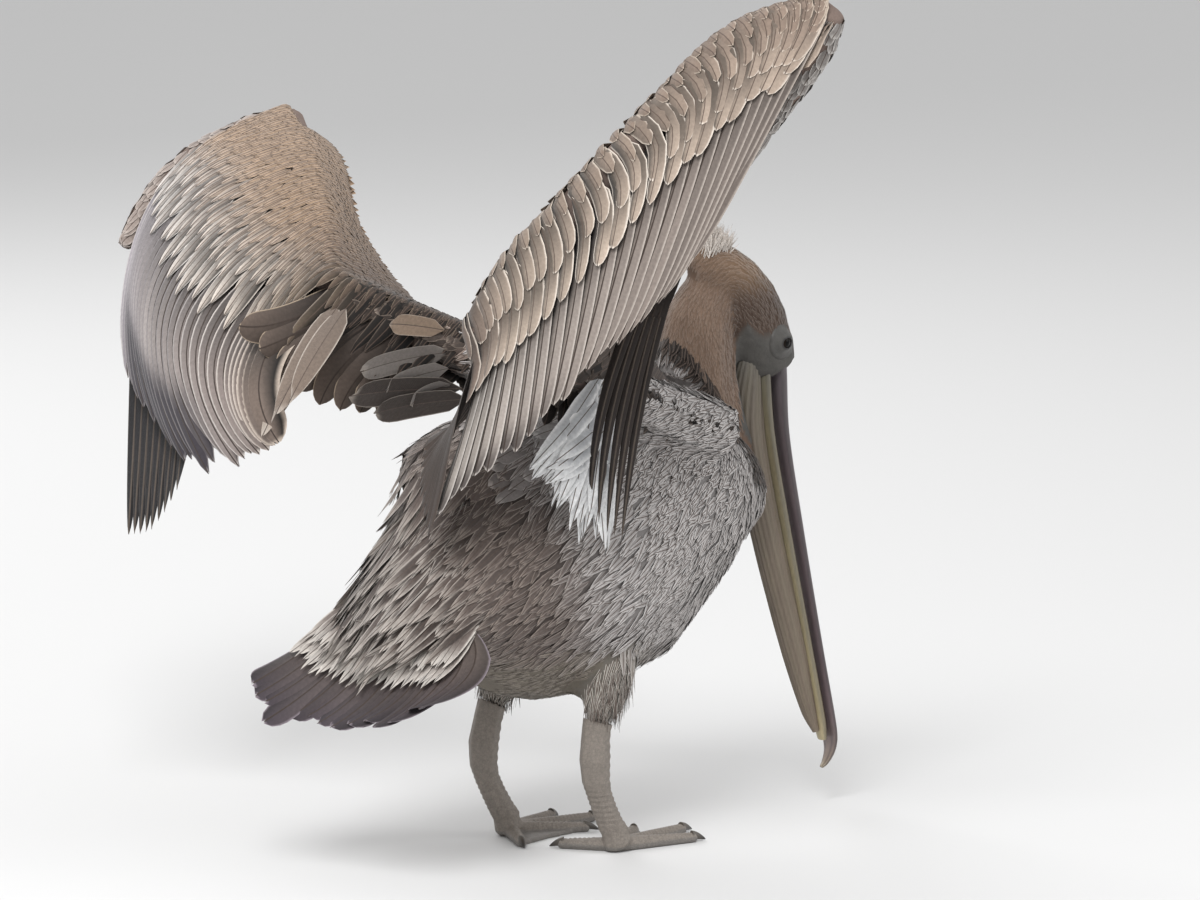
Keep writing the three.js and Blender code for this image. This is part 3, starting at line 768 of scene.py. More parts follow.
def scatter(names, spacing, where=None, seed=0, crowd=3.5):
    """Even random places on the skin of the named parts."""
    random = np.random.default_rng(seed)
    numbers = [i for i, name in enumerate(FLESH) if name.startswith(names)]
    quads = body_quads[np.isin(skin_part[body_quads[:, 0]], numbers)]
    a, b, c, d = (body[quads[:, k]] for k in range(4))
    areas = np.linalg.norm(np.cross(c - a, d - b), axis=1) / 2
    count = int(areas.sum() / spacing**2 * crowd)
    chosen = random.choice(len(quads), count, p=areas / areas.sum())
    s, t = random.random((2, count, 1))
    points = mix(mix(a[chosen], b[chosen], s), mix(d[chosen], c[chosen], s), t)
    if where is not None:
        points = points[where(points)]
    tree = KDTree(len(points))
    for i, p in enumerate(points):
        tree.insert(p, i)
    tree.balance()
    gone = np.zeros(len(points), bool)
    kept = []
    for i, p in enumerate(points):
        if gone[i]:
            continue
        kept.append(i)
        for _, j, _ in tree.find_range(p, spacing):
            gone[j] = True
    return points[kept]


def settle(points):
    """Drops points onto the skin: their places, normals and part numbers."""
    found = np.array([skin_tree.find(p)[1] for p in points])
    normals = body_normals[found]
    off = ((points - body[found]) * normals).sum(1, keepdims=True)
    return points - off * normals, normals, skin_part[found]


# Which way the coat lies on each part: back and down, and along the bone on the upper arm and the hand.
COAT_WAYS = {}
for side_name, side_wing in WINGS.items():
    humerus = unit(np.subtract(side_wing["elbow"], side_wing["shoulder"]))
    hand = unit(np.subtract(side_wing["hand_end"], side_wing["wrist"]))
    COAT_WAYS[f"upper_arm_{side_name}"] = humerus + [-0.4, 0, -0.7]
    COAT_WAYS[f"forearm_{side_name}"] = np.array([-0.5, 0, -0.8])
    COAT_WAYS[f"wing_web_{side_name}"] = np.array([-0.6, 0, 0.1])
    COAT_WAYS[f"hand_{side_name}"] = hand + [-0.2, 0, -0.5]
    COAT_WAYS[f"thigh_{side_name}"] = np.array([-0.2, 0, -1.0])
PART_WAYS = np.array([COAT_WAYS.get(name, np.array([-0.85, 0, -0.5])) for name in FLESH])


def lie(points, part):
    """Which way feathers point at places on the body."""
    ways = PART_WAYS[part].astype(float)
    front = smooth(90, 150, points[:, 0])[:, None]
    on_trunk = (part == FLESH.index("trunk"))[:, None]
    ways = np.where(on_trunk, mix(ways, np.array([-0.25, 0, -1.0]), front), ways)
    neck = np.isin(part, PART_NUMBERS["neck"]) & (collar(points) > -4)
    nearest = ((points[:, None] - SPINE_POINTS[None]) ** 2).sum(-1).argmin(1)
    return np.where(neck[:, None], SPINE_WAYS[nearest], ways)


def lay(points, lengths, v, rise, sink, wander, seed, free=1.1, drop=(0, 0, 0)):
    """Feather paths over the skin from their roots: (n, R, 3) paths, normals and outer sides, and the roots'
    parts. Past the share free of its length a feather leaves the skin and goes on, turned by drop."""
    random = np.random.default_rng(seed)
    spots, normals, part = settle(points)
    first = part
    turn = wander * random.normal(size=(len(points), 1))
    paths, ups, overs = [], [], []
    for k, share in enumerate(v):
        if share <= free:
            way = lie(spots, part)
            way = unit(way - (way * normals).sum(1, keepdims=True) * normals)
            way = unit(way + turn * np.cross(way, normals))
        else:
            way = unit(way + np.array(drop) * (share - v[k - 1]))
            normals = unit(normals - (normals * way).sum(1, keepdims=True) * way)
        over = np.cross(way, normals)
        height = -sink + (rise * lengths + sink) * share
        paths.append(spots + normals * height[:, None])
        ups.append(normals)
        overs.append(over)
        if k + 1 < len(v):
            spots = spots + way * (lengths * (v[k + 1] - share))[:, None]
            if v[k + 1] <= free:
                spots, normals, part = settle(spots)
    return np.stack(paths, 1), np.stack(ups, 1), np.stack(overs, 1), first


def unwrap(points, part):
    """Each place on an unwrap of the skin, one tile for each part: along the part, and round its length."""
    x, y, z = points.T
    tile = part % 4, part // 4
    on_neck, on_thigh, on_wing = (np.isin(part, PART_NUMBERS[key]) for key in ("neck", "thigh", "wing"))
    share = np.where(on_neck, spine_share(points), (x + 190) / 370)
    share = np.where(on_thigh, (z - 110) / 110, share)
    share = np.where(on_wing, (z - 280) / 380, share)
    round_trunk = np.arctan2(y - 3 * np.sign(y), z - 225) / (2 * math.pi) + 0.5
    round_neck = np.arctan2(y + 10, x - 120) / (2 * math.pi) + 0.5
    turned = np.where(on_neck, round_neck, round_trunk)
    turned = np.where(on_wing, (x + 150) / 260, turned)
    return np.stack([
        (tile[0] + 0.04 + 0.92 * np.clip(share, 0, 1)) / 4,
        (tile[1] + 0.04 + 0.92 * np.clip(turned, 0, 1)) / 4,
    ], 1)


STEEPEST = 0.72  # no feather grows where its way points out of the skin by more than this


def coat_tract(
    coat, names, spacing, length, half, shape, where=None, rows=5, columns=5, rise=0.13, sink=0.4,
    wander=0.12, fringe=0.3, jitter=0.1, fray=0.15, seed=1, colour=None, spread=0.15, free=1.1,
    drop=(0, 0, 0), **more
):
    """Feathers of one kind over part of the body: spacing, length, half width and sink in millimetres, and
    rise as the share of its length by which a feather's tip stands off the skin."""
    random = np.random.default_rng(seed)
    roots = scatter(names, spacing, where, seed)
    _, normals, part = settle(roots)
    roots = roots[(unit(lie(roots, part)) * normals).sum(1) < STEEPEST]
    lengths = length * (1 + spread * random.normal(size=len(roots)))
    v = rows_of(rows)
    path, normal, over, part = lay(roots, lengths, v, rise, sink, wander, seed + 50, free, drop)
    if any(drop):
        down = path[:, -1, 2] < path[:, 0, 2] - 0.15 * length
        path, normal, over, part, roots = (a[down] for a in (path, normal, over, part, roots))
    base, edge = markings(roots, part) if colour is None else colour(roots, part)
    u = np.linspace(-1, 1, columns)
    # roots darkened to 0.82 of the colour: painted shade under the feathers lying over them
    tint = shaded(len(roots), v, u, base * 0.82, base, 1.0, jitter, seed)
    widths = half * (1 + 0.12 * random.normal(size=len(roots)))
    coat.add(
        path, normal, over, widths, shape, v, tint, edged(len(roots), edge, fringe), unwrap(roots, part),
        columns=columns, fray=fray, seed=seed, **more,
    )


# Rules for where each tract grows.
def tan_place(p):
    """Neck and head."""
    near = (p[:, 0] > 20) & (np.abs(p[:, 1]) < NECK_REACH)
    return (collar(p) > -0.5) & (face_depth(p) + 4 * patches(p, 5, 7) < 3) & near


def breast_place(p):
    return (collar(p) < 1) & (p[:, 0] > 20) & (p[:, 2] > 140)


def flank_place(p):
    beside_the_back = (p[:, 2] < 330) | (p[:, 0] > -40)
    return (collar(p) < 1) & (p[:, 0] < 60) & (p[:, 2] > 158) & beside_the_back


def belly_place(p):
    return (p[:, 2] < 162) & (p[:, 0] < 60)


def back_place(p):
    return (p[:, 2] > 300) & (p[:, 0] < -25)


def rump_place(p):
    return (p[:, 0] < -125) & (p[:, 2] > 175)


def hind_place(p):
    return (p[:, 0] < -100) & (p[:, 2] > 160)


def border_place(p):
    """A line between the mottled breast and the tan neck."""
    return (np.abs(collar(p) + 0.5) < 2.6) & (p[:, 2] > 268) & (np.abs(p[:, 1]) < NECK_REACH)


def arm_front_place(p):
    aside = np.abs(p[:, 1])
    return (p[:, 0] > -14) & (aside < PALE_REACH) & ((collar(p) < 0) | (aside >= NECK_REACH))


def arm_back_place(p):
    return p[:, 0] < -10


head_coat = Coat("head_and_neck_down", VELVET, "plumage")
coat_tract(
    head_coat, ("head", "neck", "trunk", "upper_arm"), 1.95, 8.5, 1.15, "hair", tan_place, rows=4, columns=3,
    rise=0.05, sink=0.3, wander=0.12, fringe=0.4, jitter=0.06, fray=0.0, seed=11, thick=0.25, cup=0.05,
)
body_coat = Coat("body_feathers", CONTOUR, "plumage")
coat_tract(
    body_coat, ("trunk", "neck"), 3.15, 15, 2.4, "point", breast_place, columns=3, fringe=0.45, jitter=0.16,
    fray=0.0, wander=0.3, seed=21, rise=0.13, sink=0.2, thick=0.35,
)
coat_tract(
    body_coat, ("trunk",), 4.8, 28, 3.0, "point", flank_place, columns=4, rows=6, fringe=0.35, jitter=0.13,
    fray=0.12, wander=0.2, seed=22, rise=0.08, free=0.75, thick=0.4,
)
coat_tract(
    body_coat, ("trunk",), 3.4, 13, 1.9, "hair", belly_place, columns=3, rows=4, fringe=0.3, jitter=0.05,
    fray=0.0, seed=23, rise=0.04, sink=0.4, thick=0.3,
)
coat_tract(
    body_coat, ("trunk",), 9, 40, 7, "round", back_place, rows=7, fringe=0.12, seed=24, rise=0.07,
)
coat_tract(
    body_coat, ("thigh",), 2.7, 26, 1.1, "hair", None, columns=3, rise=0.1, wander=0.3, fringe=0.7,
    fray=0.0, seed=25, jitter=0.2, free=0.45, drop=(0, 0, -2.0), thick=0.3,
)
# long pale feathers that run off the rump over the roots of the tail
coat_tract(
    body_coat, ("trunk",), 8, 74, 5.6, "point", rump_place, rows=9, fringe=0.4, fray=0.12, seed=26, rise=0.04,
    free=0.25, drop=(-0.9, 0, -0.55), wander=0.1, jitter=0.14,
)
coat_tract(
    body_coat, ("trunk",), 7, 52, 4.6, "point", hind_place, rows=8, fringe=0.35, fray=0.12, seed=27,
    rise=0.06, free=0.45, drop=(-0.4, 0, -0.2), wander=0.15, jitter=0.14,
)


def skin_colours(points, part):
    """Grey creased face, and elsewhere the markings, darker where feathers shade them."""
    base, _ = markings(points, part)
    bare_face = smooth(-6, 5, face_depth(points))[:, None] * np.isin(part, PART_NUMBERS["neck"])[:, None]
    creased = COLOURS["face"] * (1 + 0.16 * patches(points, 5, 9) + 0.1 * patches(points, 2, 10))[:, None]
    on_wing = np.isin(part, PART_NUMBERS["wing"])
    pale = on_wing & (points[:, 0] > -16) & (np.abs(points[:, 1]) < PALE_REACH)
    shade = np.where(collar(points) > 0, 0.75, np.where(pale, 1.0, 0.5))[:, None]
    return mix(base * shade, creased, bare_face)


skin_faces = body_quads.ravel(), np.full(len(body_quads), 4)
skin = new_piece("skin", body, skin_faces, SKIN, FLESH, sharp=180)
colour_layer(skin.data, "tint", skin_colours(body, skin_part))


# ---- wings ----
def arm_place(wing, a):
    """Leading edge, bone, and the middle and tip of the feather there. a is -1 at the shoulder, 0 at the
    elbow and 1 at the wrist."""
    a = np.clip(a, -1, 1)
    upper, fore = np.clip(a + 1, 0, 1), np.clip(a, 0, 1)
    humerus = [wing["shoulder"], wing["elbow"]]
    forearm = [wing["elbow"], *wing["forearm_bow"], wing["wrist"]]
    drawn = (line(rows, np.linspace(0, 1, 60)) for rows in (humerus, forearm))
    lengths = [np.linalg.norm(np.diff(points, axis=0), axis=1).sum() for points in drawn]
    dense = line(forearm, np.linspace(0, 1, 200))
    run = np.r_[0, np.cumsum(np.linalg.norm(np.diff(dense, axis=0), axis=1))]
    gone = np.interp(fore, np.linspace(0, 1, 200), run / run[-1])
    s = (lengths[0] * upper + lengths[1] * gone) / sum(lengths)
    lead = line_by_length([wing["shoulder"], *wing["leading"], wing["wrist"]], s)
    bone = np.where((a < 0)[:, None], line(humerus, upper), line(forearm, fore))
    elbow_tip, elbow_middle = (np.array(wing[key][0], float) for key in ("tips", "middles"))
    tip = mix(np.array(wing["scapular"], float), elbow_tip, upper[:, None] ** 1.4)
    bulge = elbow_middle - (np.array(wing["elbow"]) + elbow_tip) / 2
    middle = (bone + tip) / 2 + upper[:, None] * bulge
    on_forearm = (a >= 0)[:, None]
    fanned = wing["fan"] * fore * (1 - fore)
    tip = np.where(on_forearm, line(wing["tips"], fore + fanned), tip)
    middle = np.where(on_forearm, line(wing["middles"], fore + 0.5 * fanned), middle)
    return lead, bone, middle, tip


CHORD_KEYS = 71  # points of a section of the wing, ten for each step between its 8 keys
BONE_KEY = 30  # the point over the bone


def wing_section(wing, side, a, face):
    """The wing's feathered surface at stations a, from the leading edge over the bone to the feather tips:
    points, and the distance past the bone of each. face is 1 for the back of the wing and -1 for its palm."""
    lead, bone, middle, tip = arm_place(wing, a)
    step = 0.03
    span = unit(arm_place(wing, a + step)[1] - arm_place(wing, a - step)[1])
    radius = np.interp(a, [-1, 0, 1], ARM_RADII)[:, None]
    vane = bow(bone, middle, tip, np.array([0, 0.12, 0.3, 0.62, 1.0]))
    after = unit(vane[:, 2] - vane[:, 0])
    before = unit(bone - lead + 12 * after)
    down = side * face * unit(np.cross(span, after))
    up = side * face * unit(np.cross(span, before))
    crest = unit(up + down)
    width = np.minimum(1, np.linalg.norm(bone - lead, axis=1, keepdims=True) / 30)
    keys = np.stack([
        lead + up * 2,
        mix(lead, bone, 0.4) + up * (3 + 0.35 * radius * width),
        mix(lead, bone, 0.76) + up * (2 + 0.75 * radius * width),
        bone + crest * radius,
        vane[:, 1] + down * radius * 0.62,
        vane[:, 2] + down * (2.0 + radius * 0.12),
        vane[:, 3] + down * 3.0,
        vane[:, 4] + down * 2.0,
    ], 1)
    points = spline(keys, np.broadcast_to(np.linspace(0, 7, CHORD_KEYS), (len(a), CHORD_KEYS)))
    far = np.concatenate([
        np.zeros((len(a), 1)), np.cumsum(np.linalg.norm(np.diff(points, axis=1), axis=2), axis=1)
    ], axis=1)
    return points, far - far[:, BONE_KEY : BONE_KEY + 1]


UPPER_ARM = 240  # length that the coverts of the upper arm are counted over
UPPER_SHARE = 0.42  # and their share of a row
COVERT_RISE = 0.03  # how far a covert's tip stands off the wing, as a share of its length
COVERT_SINK = 0.5  # and how far its root is sunk


def wing_row(wing, side, a, root, length, v, face):
    """Paths, normals and outer sides of feathers laid along the wing's surface from root mm past the bone."""
    points, far = wing_section(wing, side, a, face)
    step = 0.015
    outer = wing_section(wing, side, a + step, face)[0] - wing_section(wing, side, a - step, face)[0]
    along = unit(np.gradient(points, axis=1))
    normals = side * face * unit(np.cross(outer, along))
    asked = root[:, None] + length[:, None] * v[None]
    path, normal = np.empty((2, len(a), len(v), 3))
    for i in range(len(a)):
        for axis in range(3):
            path[i, :, axis] = np.interp(asked[i], far[i], points[i, :, axis])
            normal[i, :, axis] = np.interp(asked[i], far[i], normals[i, :, axis])
    normal = unit(normal)
    height = -COVERT_SINK + (COVERT_RISE * length[:, None] + COVERT_SINK) * v[None]
    path = path + normal * height[..., None]
    along = unit(np.gradient(path, axis=1))
    return path, normal, unit(side * face * np.cross(along, normal))


def stations(count):
    """Stations of one row, about evenly spaced along both arm bones."""
    upper = int(count * UPPER_SHARE)
    fore = count - upper
    return np.r_[-1 + (np.arange(upper) + 0.5) / upper, (np.arange(fore) + 0.5) / fore]


def flight_length(wing, a):
    _, bone, middle, tip = arm_place(wing, a)
    path = bow(bone, middle, tip, np.linspace(0, 1, 12))
    return np.linalg.norm(np.diff(path, axis=1), axis=2).sum(1)


def web_width(wing, a):
    lead, bone, _, _ = arm_place(wing, a)
    return np.linalg.norm(bone - lead, axis=1)


def tone(stops, a):
    """Colours along the wing: stops are pairs of a station and a hex colour."""
    at = [stop[0] for stop in stops]
    colours = np.array([linear(stop[1]) for stop in stops])
    return np.stack([np.interp(a, at, colours[:, k]) for k in range(3)], 1)


# Feather colours along each wing, from the shoulder at -1 over the elbow at 0 to the wrist at 1. The darkest
# colours near the shoulder are partly the coverts' own dark brown and partly painted shade of the recess in
# front of the tertials.
WING_TONES = {
    "right": {
        "covert": [(-1, "#2e2723"), (-0.3, "#3d342f"), (0.03, "#86756a"), (0.2, "#b5a596"), (1, "#b3a192")],
        "covert_tip": [
            (-1, "#5d534c"), (-0.2, "#7d7168"), (0.1, "#e8dccf"), (0.6, "#eadfd3"), (1, "#d8ccc0"),
        ],
        "flight": [(-1, "#4a413d"), (0, "#a8a099"), (0.3, "#9c928b"), (0.6, "#877c75"), (1, "#6b615b")],
        "flight_edge": [(-1, "#8f867e"), (0, "#e2dcd6"), (0.5, "#d0c6bd"), (1, "#b5aaa1")],
        "small": [(-1, "#352d29"), (-0.2, "#4f443d"), (0.15, "#7d6c5f"), (1, "#8f7d70")],
        "small_tip": [(-1, "#6f645c"), (0, "#b3a494"), (1, "#c9baaa")],
    },
    "left": {
        "covert": [(-1, "#241e1b"), (-0.12, "#2c2521"), (0.06, "#94826f"), (0.3, "#d6cabf"), (1, "#ddd5cf")],
        "covert_tip": [
            (-1, "#544a42"), (-0.08, "#6b5e54"), (0.1, "#cfc1b2"), (0.5, "#efe9e3"), (1, "#f0ece9"),
        ],
        "flight": [(-1, "#4a413d"), (0.0, "#7c6d63"), (0.2, "#8a7e79"), (0.6, "#aaa19e"), (1, "#aba4aa")],
        "flight_edge": [(-1, "#8f867e"), (0, "#c9b9aa"), (0.3, "#d9d1cb"), (1, "#dcd7d4")],
        "small": [(-1, "#3b322d"), (-0.15, "#4a3e36"), (0.08, "#846e5c"), (0.4, "#b0957c"), (1, "#bda38c")],
        "small_tip": [(-1, "#8a7b6e"), (-0.1, "#94826f"), (0.25, "#bda48b"), (1, "#c6b29f")],
    },
}
# The rows of coverts. greater holds stations and the shares of the flight feathers' length where the greater
# coverts end. pitch is the length of a feather that shows, and spacing its distance to the next one, both in
# millimetres at the leading edge and in the greater row. share is the half width as a share of the spacing,
# grade is how late the feathers grow from small to large, and stray is how unevenly they lie.
ROW_PLANS = {
    "right": {
        "greater": ([-1, 0, 0.2, 0.35, 0.5, 0.7, 0.85, 1], [0.45, 0.5, 0.56, 0.57, 0.52, 0.43, 0.37, 0.32]),
        "pitch": (7, 27),
        "spacing": (9, 15),
        "share": 0.56,
        "grade": 1.0,
        "stray": 0.1,
        "shape": "round",
        "fringe": 0.24,
    },
    "left": {
        "greater": ([-1, 0, 0.2, 0.5, 0.8, 1], [0.4, 0.5, 0.54, 0.51, 0.48, 0.52]),
        "pitch": (4.6, 25),
        "spacing": (5.0, 12),
        "share": 0.62,
        "grade": 3.0,
        "stray": 0.35,
        "shape": "point",
        "fringe": 0.22,
    },
}
# Feathers that show in each group, and what differs between the spread left wing and the folded right one.
FLIGHT_PLANS = {
    "right": {
        "secondaries": 24, "primaries": 5, "primary_width": 0.62, "primary": "#2a2320",
        "tertials": 10, "tertial_half": 8.0, "tertial": "#463b35", "tertial_edge": "#6e6259",
    },
    "left": {
        "secondaries": 28, "primaries": 9, "primary_width": 1.0, "primary": "#1a181b",
        "tertials": 8, "tertial_half": 13.5, "tertial": "#6b5d54", "tertial_edge": "#b3a18c",
    },
}
WING_SEEDS = {"left": 100, "right": 200}
STRIP = np.array([0.008, 0.05])  # the patch of a long feather on its own map
# Places across a flight feather, from its inner edge to its outer one, close together at the shaft.
FLIGHT_COLUMNS = np.array([-1, -0.7, -0.35, -0.07, 0, 0.07, 0.35, 0.7, 1])


def wing_place(side, a, share, face):
    """A feather's place on the unwrap of its wing: outwards along the arm, and back across it."""
    tile = (0 if side > 0 else 2) + (0 if face > 0 else 1)
    return np.stack([(tile + 0.05 + 0.9 * (a + 1) / 2) / 4, np.full(a.shape, 0.78 + 0.2 * share)], 1)


def strip_place(count, column):
    """Places for long feathers, side by side on a strip of the map that no small feather uses."""
    return np.stack([0.01 + 0.98 * (np.arange(count) + 0.5) / count, np.full(count, column)], 1)


def dress_coverts(name, side, random):
    wing, plan, tones, seed = WINGS[name], ROW_PLANS[name], WING_TONES[name], WING_SEEDS[name]
    coverts = Coat(f"wing_coverts_{name}", COVERT, "plumage")
    arm_length = UPPER_ARM + np.linalg.norm(np.subtract(wing["wrist"], wing["elbow"]))

    def row(w, pitch, spacing, half, shape, fringe, face=1, rows=6, columns=5):
        """A row of coverts; w is 0 along the leading edge and 1 at the tips of the greater coverts."""
        count = int(arm_length / spacing)
        a = stations(count)
        a = a + plan["stray"] * random.normal(size=len(a)) / count
        greater = np.interp(a, *plan["greater"]) * flight_length(wing, a) * (1 if face > 0 else 0.8)
        edge_side = 5 - web_width(wing, a)
        tip = mix(edge_side, greater, w) + plan["stray"] * pitch * random.normal(size=len(a))
        length = (pitch * 2.5 + 6) * (1 + 0.07 * random.normal(size=len(a)))
        length = np.minimum(length, tip - edge_side + 22)
        v = rows_of(rows)
        path, normal, over = wing_row(wing, side, a, tip - length, length, v, face)
        near = smooth(0.45, 0.95, w)  # 0 among the small coverts, 1 in the greater row
        dark = mix(tone(tones["small"], a), tone(tones["covert"], a), near)
        pale = mix(tone(tones["small_tip"], a), tone(tones["covert_tip"], a), near)
        pale = pale if face > 0 else mix(dark, pale, 0.3)
        row_seed = seed + len(coverts.parts)
        # painted shade: each covert darkens towards its root, partly its own colour and partly shade under
        # the row above, and on its inner side under its neighbour, most in the greater row; the middle streak
        # is its own pattern
        tint = shaded(
            len(a), smooth(0.35, 0.85, v), np.linspace(-1, 1, columns), dark * mix(0.75, 0.3, near), dark,
            mix(0.85, 0.25, near), 0.07, row_seed, streak=mix(0.05, 0.2, near),
        )
        widths = half * (1 + 0.08 * random.normal(size=len(a)))
        coverts.add(
            path, normal, over, widths, shape, v, tint, edged(len(a), pale, fringe),
            wing_place(side, a, w, face), columns=columns, slope=mix(0.1, 0.16, near), cup=0.32, fray=0.02,
            seed=row_seed, even_rim=True, thick=0.6,
        )

    # rows from the tips of the greater coverts up to the leading edge, smaller towards it
    depth = np.median(plan["greater"][1]) * 200 + 45
    w = 1.0
    while w > 0.02:
        pitch, spacing = (mix(*plan[key], w ** plan["grade"]) for key in ("pitch", "spacing"))
        half = spacing * plan["share"]
        rows, columns = (9, 7) if w > 0.7 else (6, 5)
        row(w, pitch, spacing, half, plan["shape"], plan["fringe"], rows=rows, columns=columns)
        w -= pitch / depth
    # and the lining of the palm side
    w = 0.95
    while w > 0.05:
        pitch = mix(10, 26, w)
        row(w, pitch, mix(9, 14, w), mix(7, 10, w), "round", 0.2, face=-1)
        w -= pitch / depth
    coverts.build()


def vane_paths(guides, g, v, step=0.03):
    """Feathers at places g across a group whose rows of roots, middles and tips are guides: their paths, and
    the way across each from its inner neighbour to its outer one."""
    path, before, after = (bow(*(line(rows, g + d) for rows in guides), v) for d in (0, -step, step))
    return path, after - before


def vane_sides(path, across, side):
    """Normals and outer sides of vanes that lie beside each other along across."""
    along = unit(np.gradient(path, axis=1))
    normal = side * unit(np.cross(across, along))
    return normal, unit(side * np.cross(along, normal))


def dress_secondaries(name, side, random):
    wing, tones, seed = WINGS[name], WING_TONES[name], WING_SEEDS[name]
    count = FLIGHT_PLANS[name]["secondaries"]
    f = (np.arange(count) + 0.5) / count
    v = rows_of(24, 1.2)
    bone, middle, tip = arm_place(wing, f)[1:]
    before, after = (bow(*arm_place(wing, np.clip(f + d, 0, 1))[1:], v) for d in (-0.02, 0.02))
    path = bow(bone, middle, mix(tip, middle, 0.03 * random.normal(size=(count, 1))), v)
    normal, over = vane_sides(path, after - before, side)
    pale, rim = tone(tones["flight"], f), tone(tones["flight_edge"], f)
    # painted shade: each secondary darkens towards its root, where the feathers over it shade it, and on its
    # inner side under its neighbour, so that the gaps between feathers read dark
    tint = shaded(count, smooth(0.3, 0.75, v), FLIGHT_COLUMNS, pale * 0.3, pale, 0.1, 0.07, seed + 1)
    if side < 0:  # the inner ones have dusky ends
        dusky = smooth(0.5, 0.25, f)[:, None, None, None] * smooth(0.84, 0.97, v)[None, :, None, None]
        tint = mix(tint, linear("#3f3735"), 0.85 * dusky)
        rim = mix(rim, linear("#8b817a"), 0.3)
    else:  # the outer ones have slate ends
        slate = (smooth(0.3, 0.5, f) * smooth(1.0, 0.85, f))[:, None, None, None]
        tipped = smooth(0.72, 0.84, v)[None, :, None, None]
        tint = mix(tint, linear("#3c373e"), slate * tipped)
        rim = mix(rim, linear("#57525a"), 0.75 * slate[:, 0, 0])
    flight = Coat(f"secondary_feathers_{name}", FLIGHT, "flight_feathers", (f"secondaries_{name}",))
    inner = smooth(0.25, 0.0, f) * (1 if side > 0 else 0.3)
    half = np.stack([11.5 + 3 * inner, 6.8 + 5 * inner], 1)
    flight.add(
        path, normal, over, half, "strap", v, tint, edged(count, rim, 0.3), strip_place(count, 0.66),
        columns=FLIGHT_COLUMNS, slope=0.24, cup=0.2, thick=0.8, rib=0.6, fray=0.012, patch=STRIP,
        seed=seed + 2, even_rim=True,
    )
    flight.build()


def dress_primaries(name, side):
    """Primaries, and the coverts over their roots."""
    plan, seed = FLIGHT_PLANS[name], WING_SEEDS[name]
    count = plan["primaries"]
    g = (np.arange(count) + 0.3) / (count - 0.4)
    guides = [WINGS[name][f"primary_{key}"] for key in ("roots", "middles", "tips")]
    v = rows_of(28, 1.2)
    path, across = vane_paths(guides, g, v)
    normal, over = vane_sides(path, across, side)
    deep = linear(plan["primary"])
    # the inner side is darkened as painted shade under the neighbouring primary
    tint = shaded(count, v, FLIGHT_COLUMNS, deep * 1.3, deep, 0.7, 0.1, seed + 3)
    primary = Coat(f"primary_feathers_{name}", PRIMARY, "flight_feathers", (f"primaries_{name}",))
    half = np.tile([9.0, 6.5], (count, 1)) * plan["primary_width"]
    primary.add(
        path, normal, over, half, "blade", v, tint, edged(count, linear("#4a423d"), 0.16),
        strip_place(count, 0.6), columns=FLIGHT_COLUMNS, slope=0.2, cup=0.2, thick=0.9, rib=0.8, fray=0.02,
        patch=STRIP, seed=seed + 4, even_rim=True,
    )
    v = rows_of(12)
    path, across = vane_paths(guides, g, v * 0.46)
    normal, over = vane_sides(path, across, side)
    path = path + normal * (2.0 + 2.5 * v[None, :, None])
    pale = tone(WING_TONES[name]["flight"], np.full(count, 0.95))
    pale = pale if side > 0 else np.broadcast_to(deep, (count, 3))
    # painted shade: darker towards the root, under the feathers over it, and on the inner side under the next
    # feather
    tint = shaded(count, v, FLIGHT_COLUMNS, pale * 0.75, pale, 0.5, 0.05, seed + 5)
    primary_coverts = Coat(f"primary_coverts_{name}", FLIGHT, "plumage")
    primary_coverts.add(
        path, normal, over, np.full(count, 7.5), "round", v, tint, edged(count, pale * 1.5, 0.12),
        strip_place(count, 0.56), columns=FLIGHT_COLUMNS, slope=0.14, thick=0.8, rib=0.5, patch=STRIP,
        seed=seed + 6,
    )
    primary_coverts.build()
    primary.build()


def dress_tertials(name, side):
    """Broad round feathers over the roots of the inner secondaries."""
    plan, seed = FLIGHT_PLANS[name], WING_SEEDS[name]
    count = plan["tertials"]
    guides = [WINGS[name][f"tertial_{key}"] for key in ("roots", "middles", "tips")]
    v = rows_of(16, 1.4)
    path, across = vane_paths(guides, np.linspace(0, 1, count), v, step=0.05)
    normal, over = vane_sides(path, across, side)
    brown, buff = linear(plan["tertial"]), linear(plan["tertial_edge"])
    # painted shade: the root is near black, shaded by the feathers over it, and the inner side is darker
    # under the neighbouring tertial
    tint = shaded(count, v, FLIGHT_COLUMNS, linear("#1e1917"), brown, 0.7, 0.06, seed + 7, streak=0.2)
    tertial = Coat(f"tertial_feathers_{name}", FLIGHT, "flight_feathers", (f"tertials_{name}",))
    tertial.add(
        path, normal, over, np.full(count, plan["tertial_half"]), "round", v, tint, edged(count, buff, 0.1),
        strip_place(count, 0.52), columns=FLIGHT_COLUMNS, slope=0.16, cup=0.3, even_rim=True, thick=0.9,
        rib=0.5, fray=0.02, patch=STRIP, seed=seed + 8,
    )
    tertial.build()


def dress_wing(name, side):
    random = np.random.default_rng(WING_SEEDS[name])
    dress_coverts(name, side, random)
    dress_secondaries(name, side, random)
    dress_primaries(name, side)
    dress_tertials(name, side)


for side_name, side_sign in SIDES.items():
    dress_wing(side_name, side_sign)
coat_tract(
    body_coat, ("hand",), 6.0, 17, 4.6, "round", fringe=0.3, jitter=0.06, fray=0.05, seed=31, rise=0.08,
    colour=lambda p, part: (
        np.where(p[:, 1:2] > 0, linear("#a89a92"), linear("#8f8985")),
        np.where(p[:, 1:2] > 0, linear("#c2b6ae"), linear("#c5c0bb")),
    ),
)


def even_colour(base, tip):
    """A rule that gives a whole tract one colour and one tip colour."""
    return lambda p, part: (np.broadcast_to(base, p.shape), np.broadcast_to(tip, p.shape))


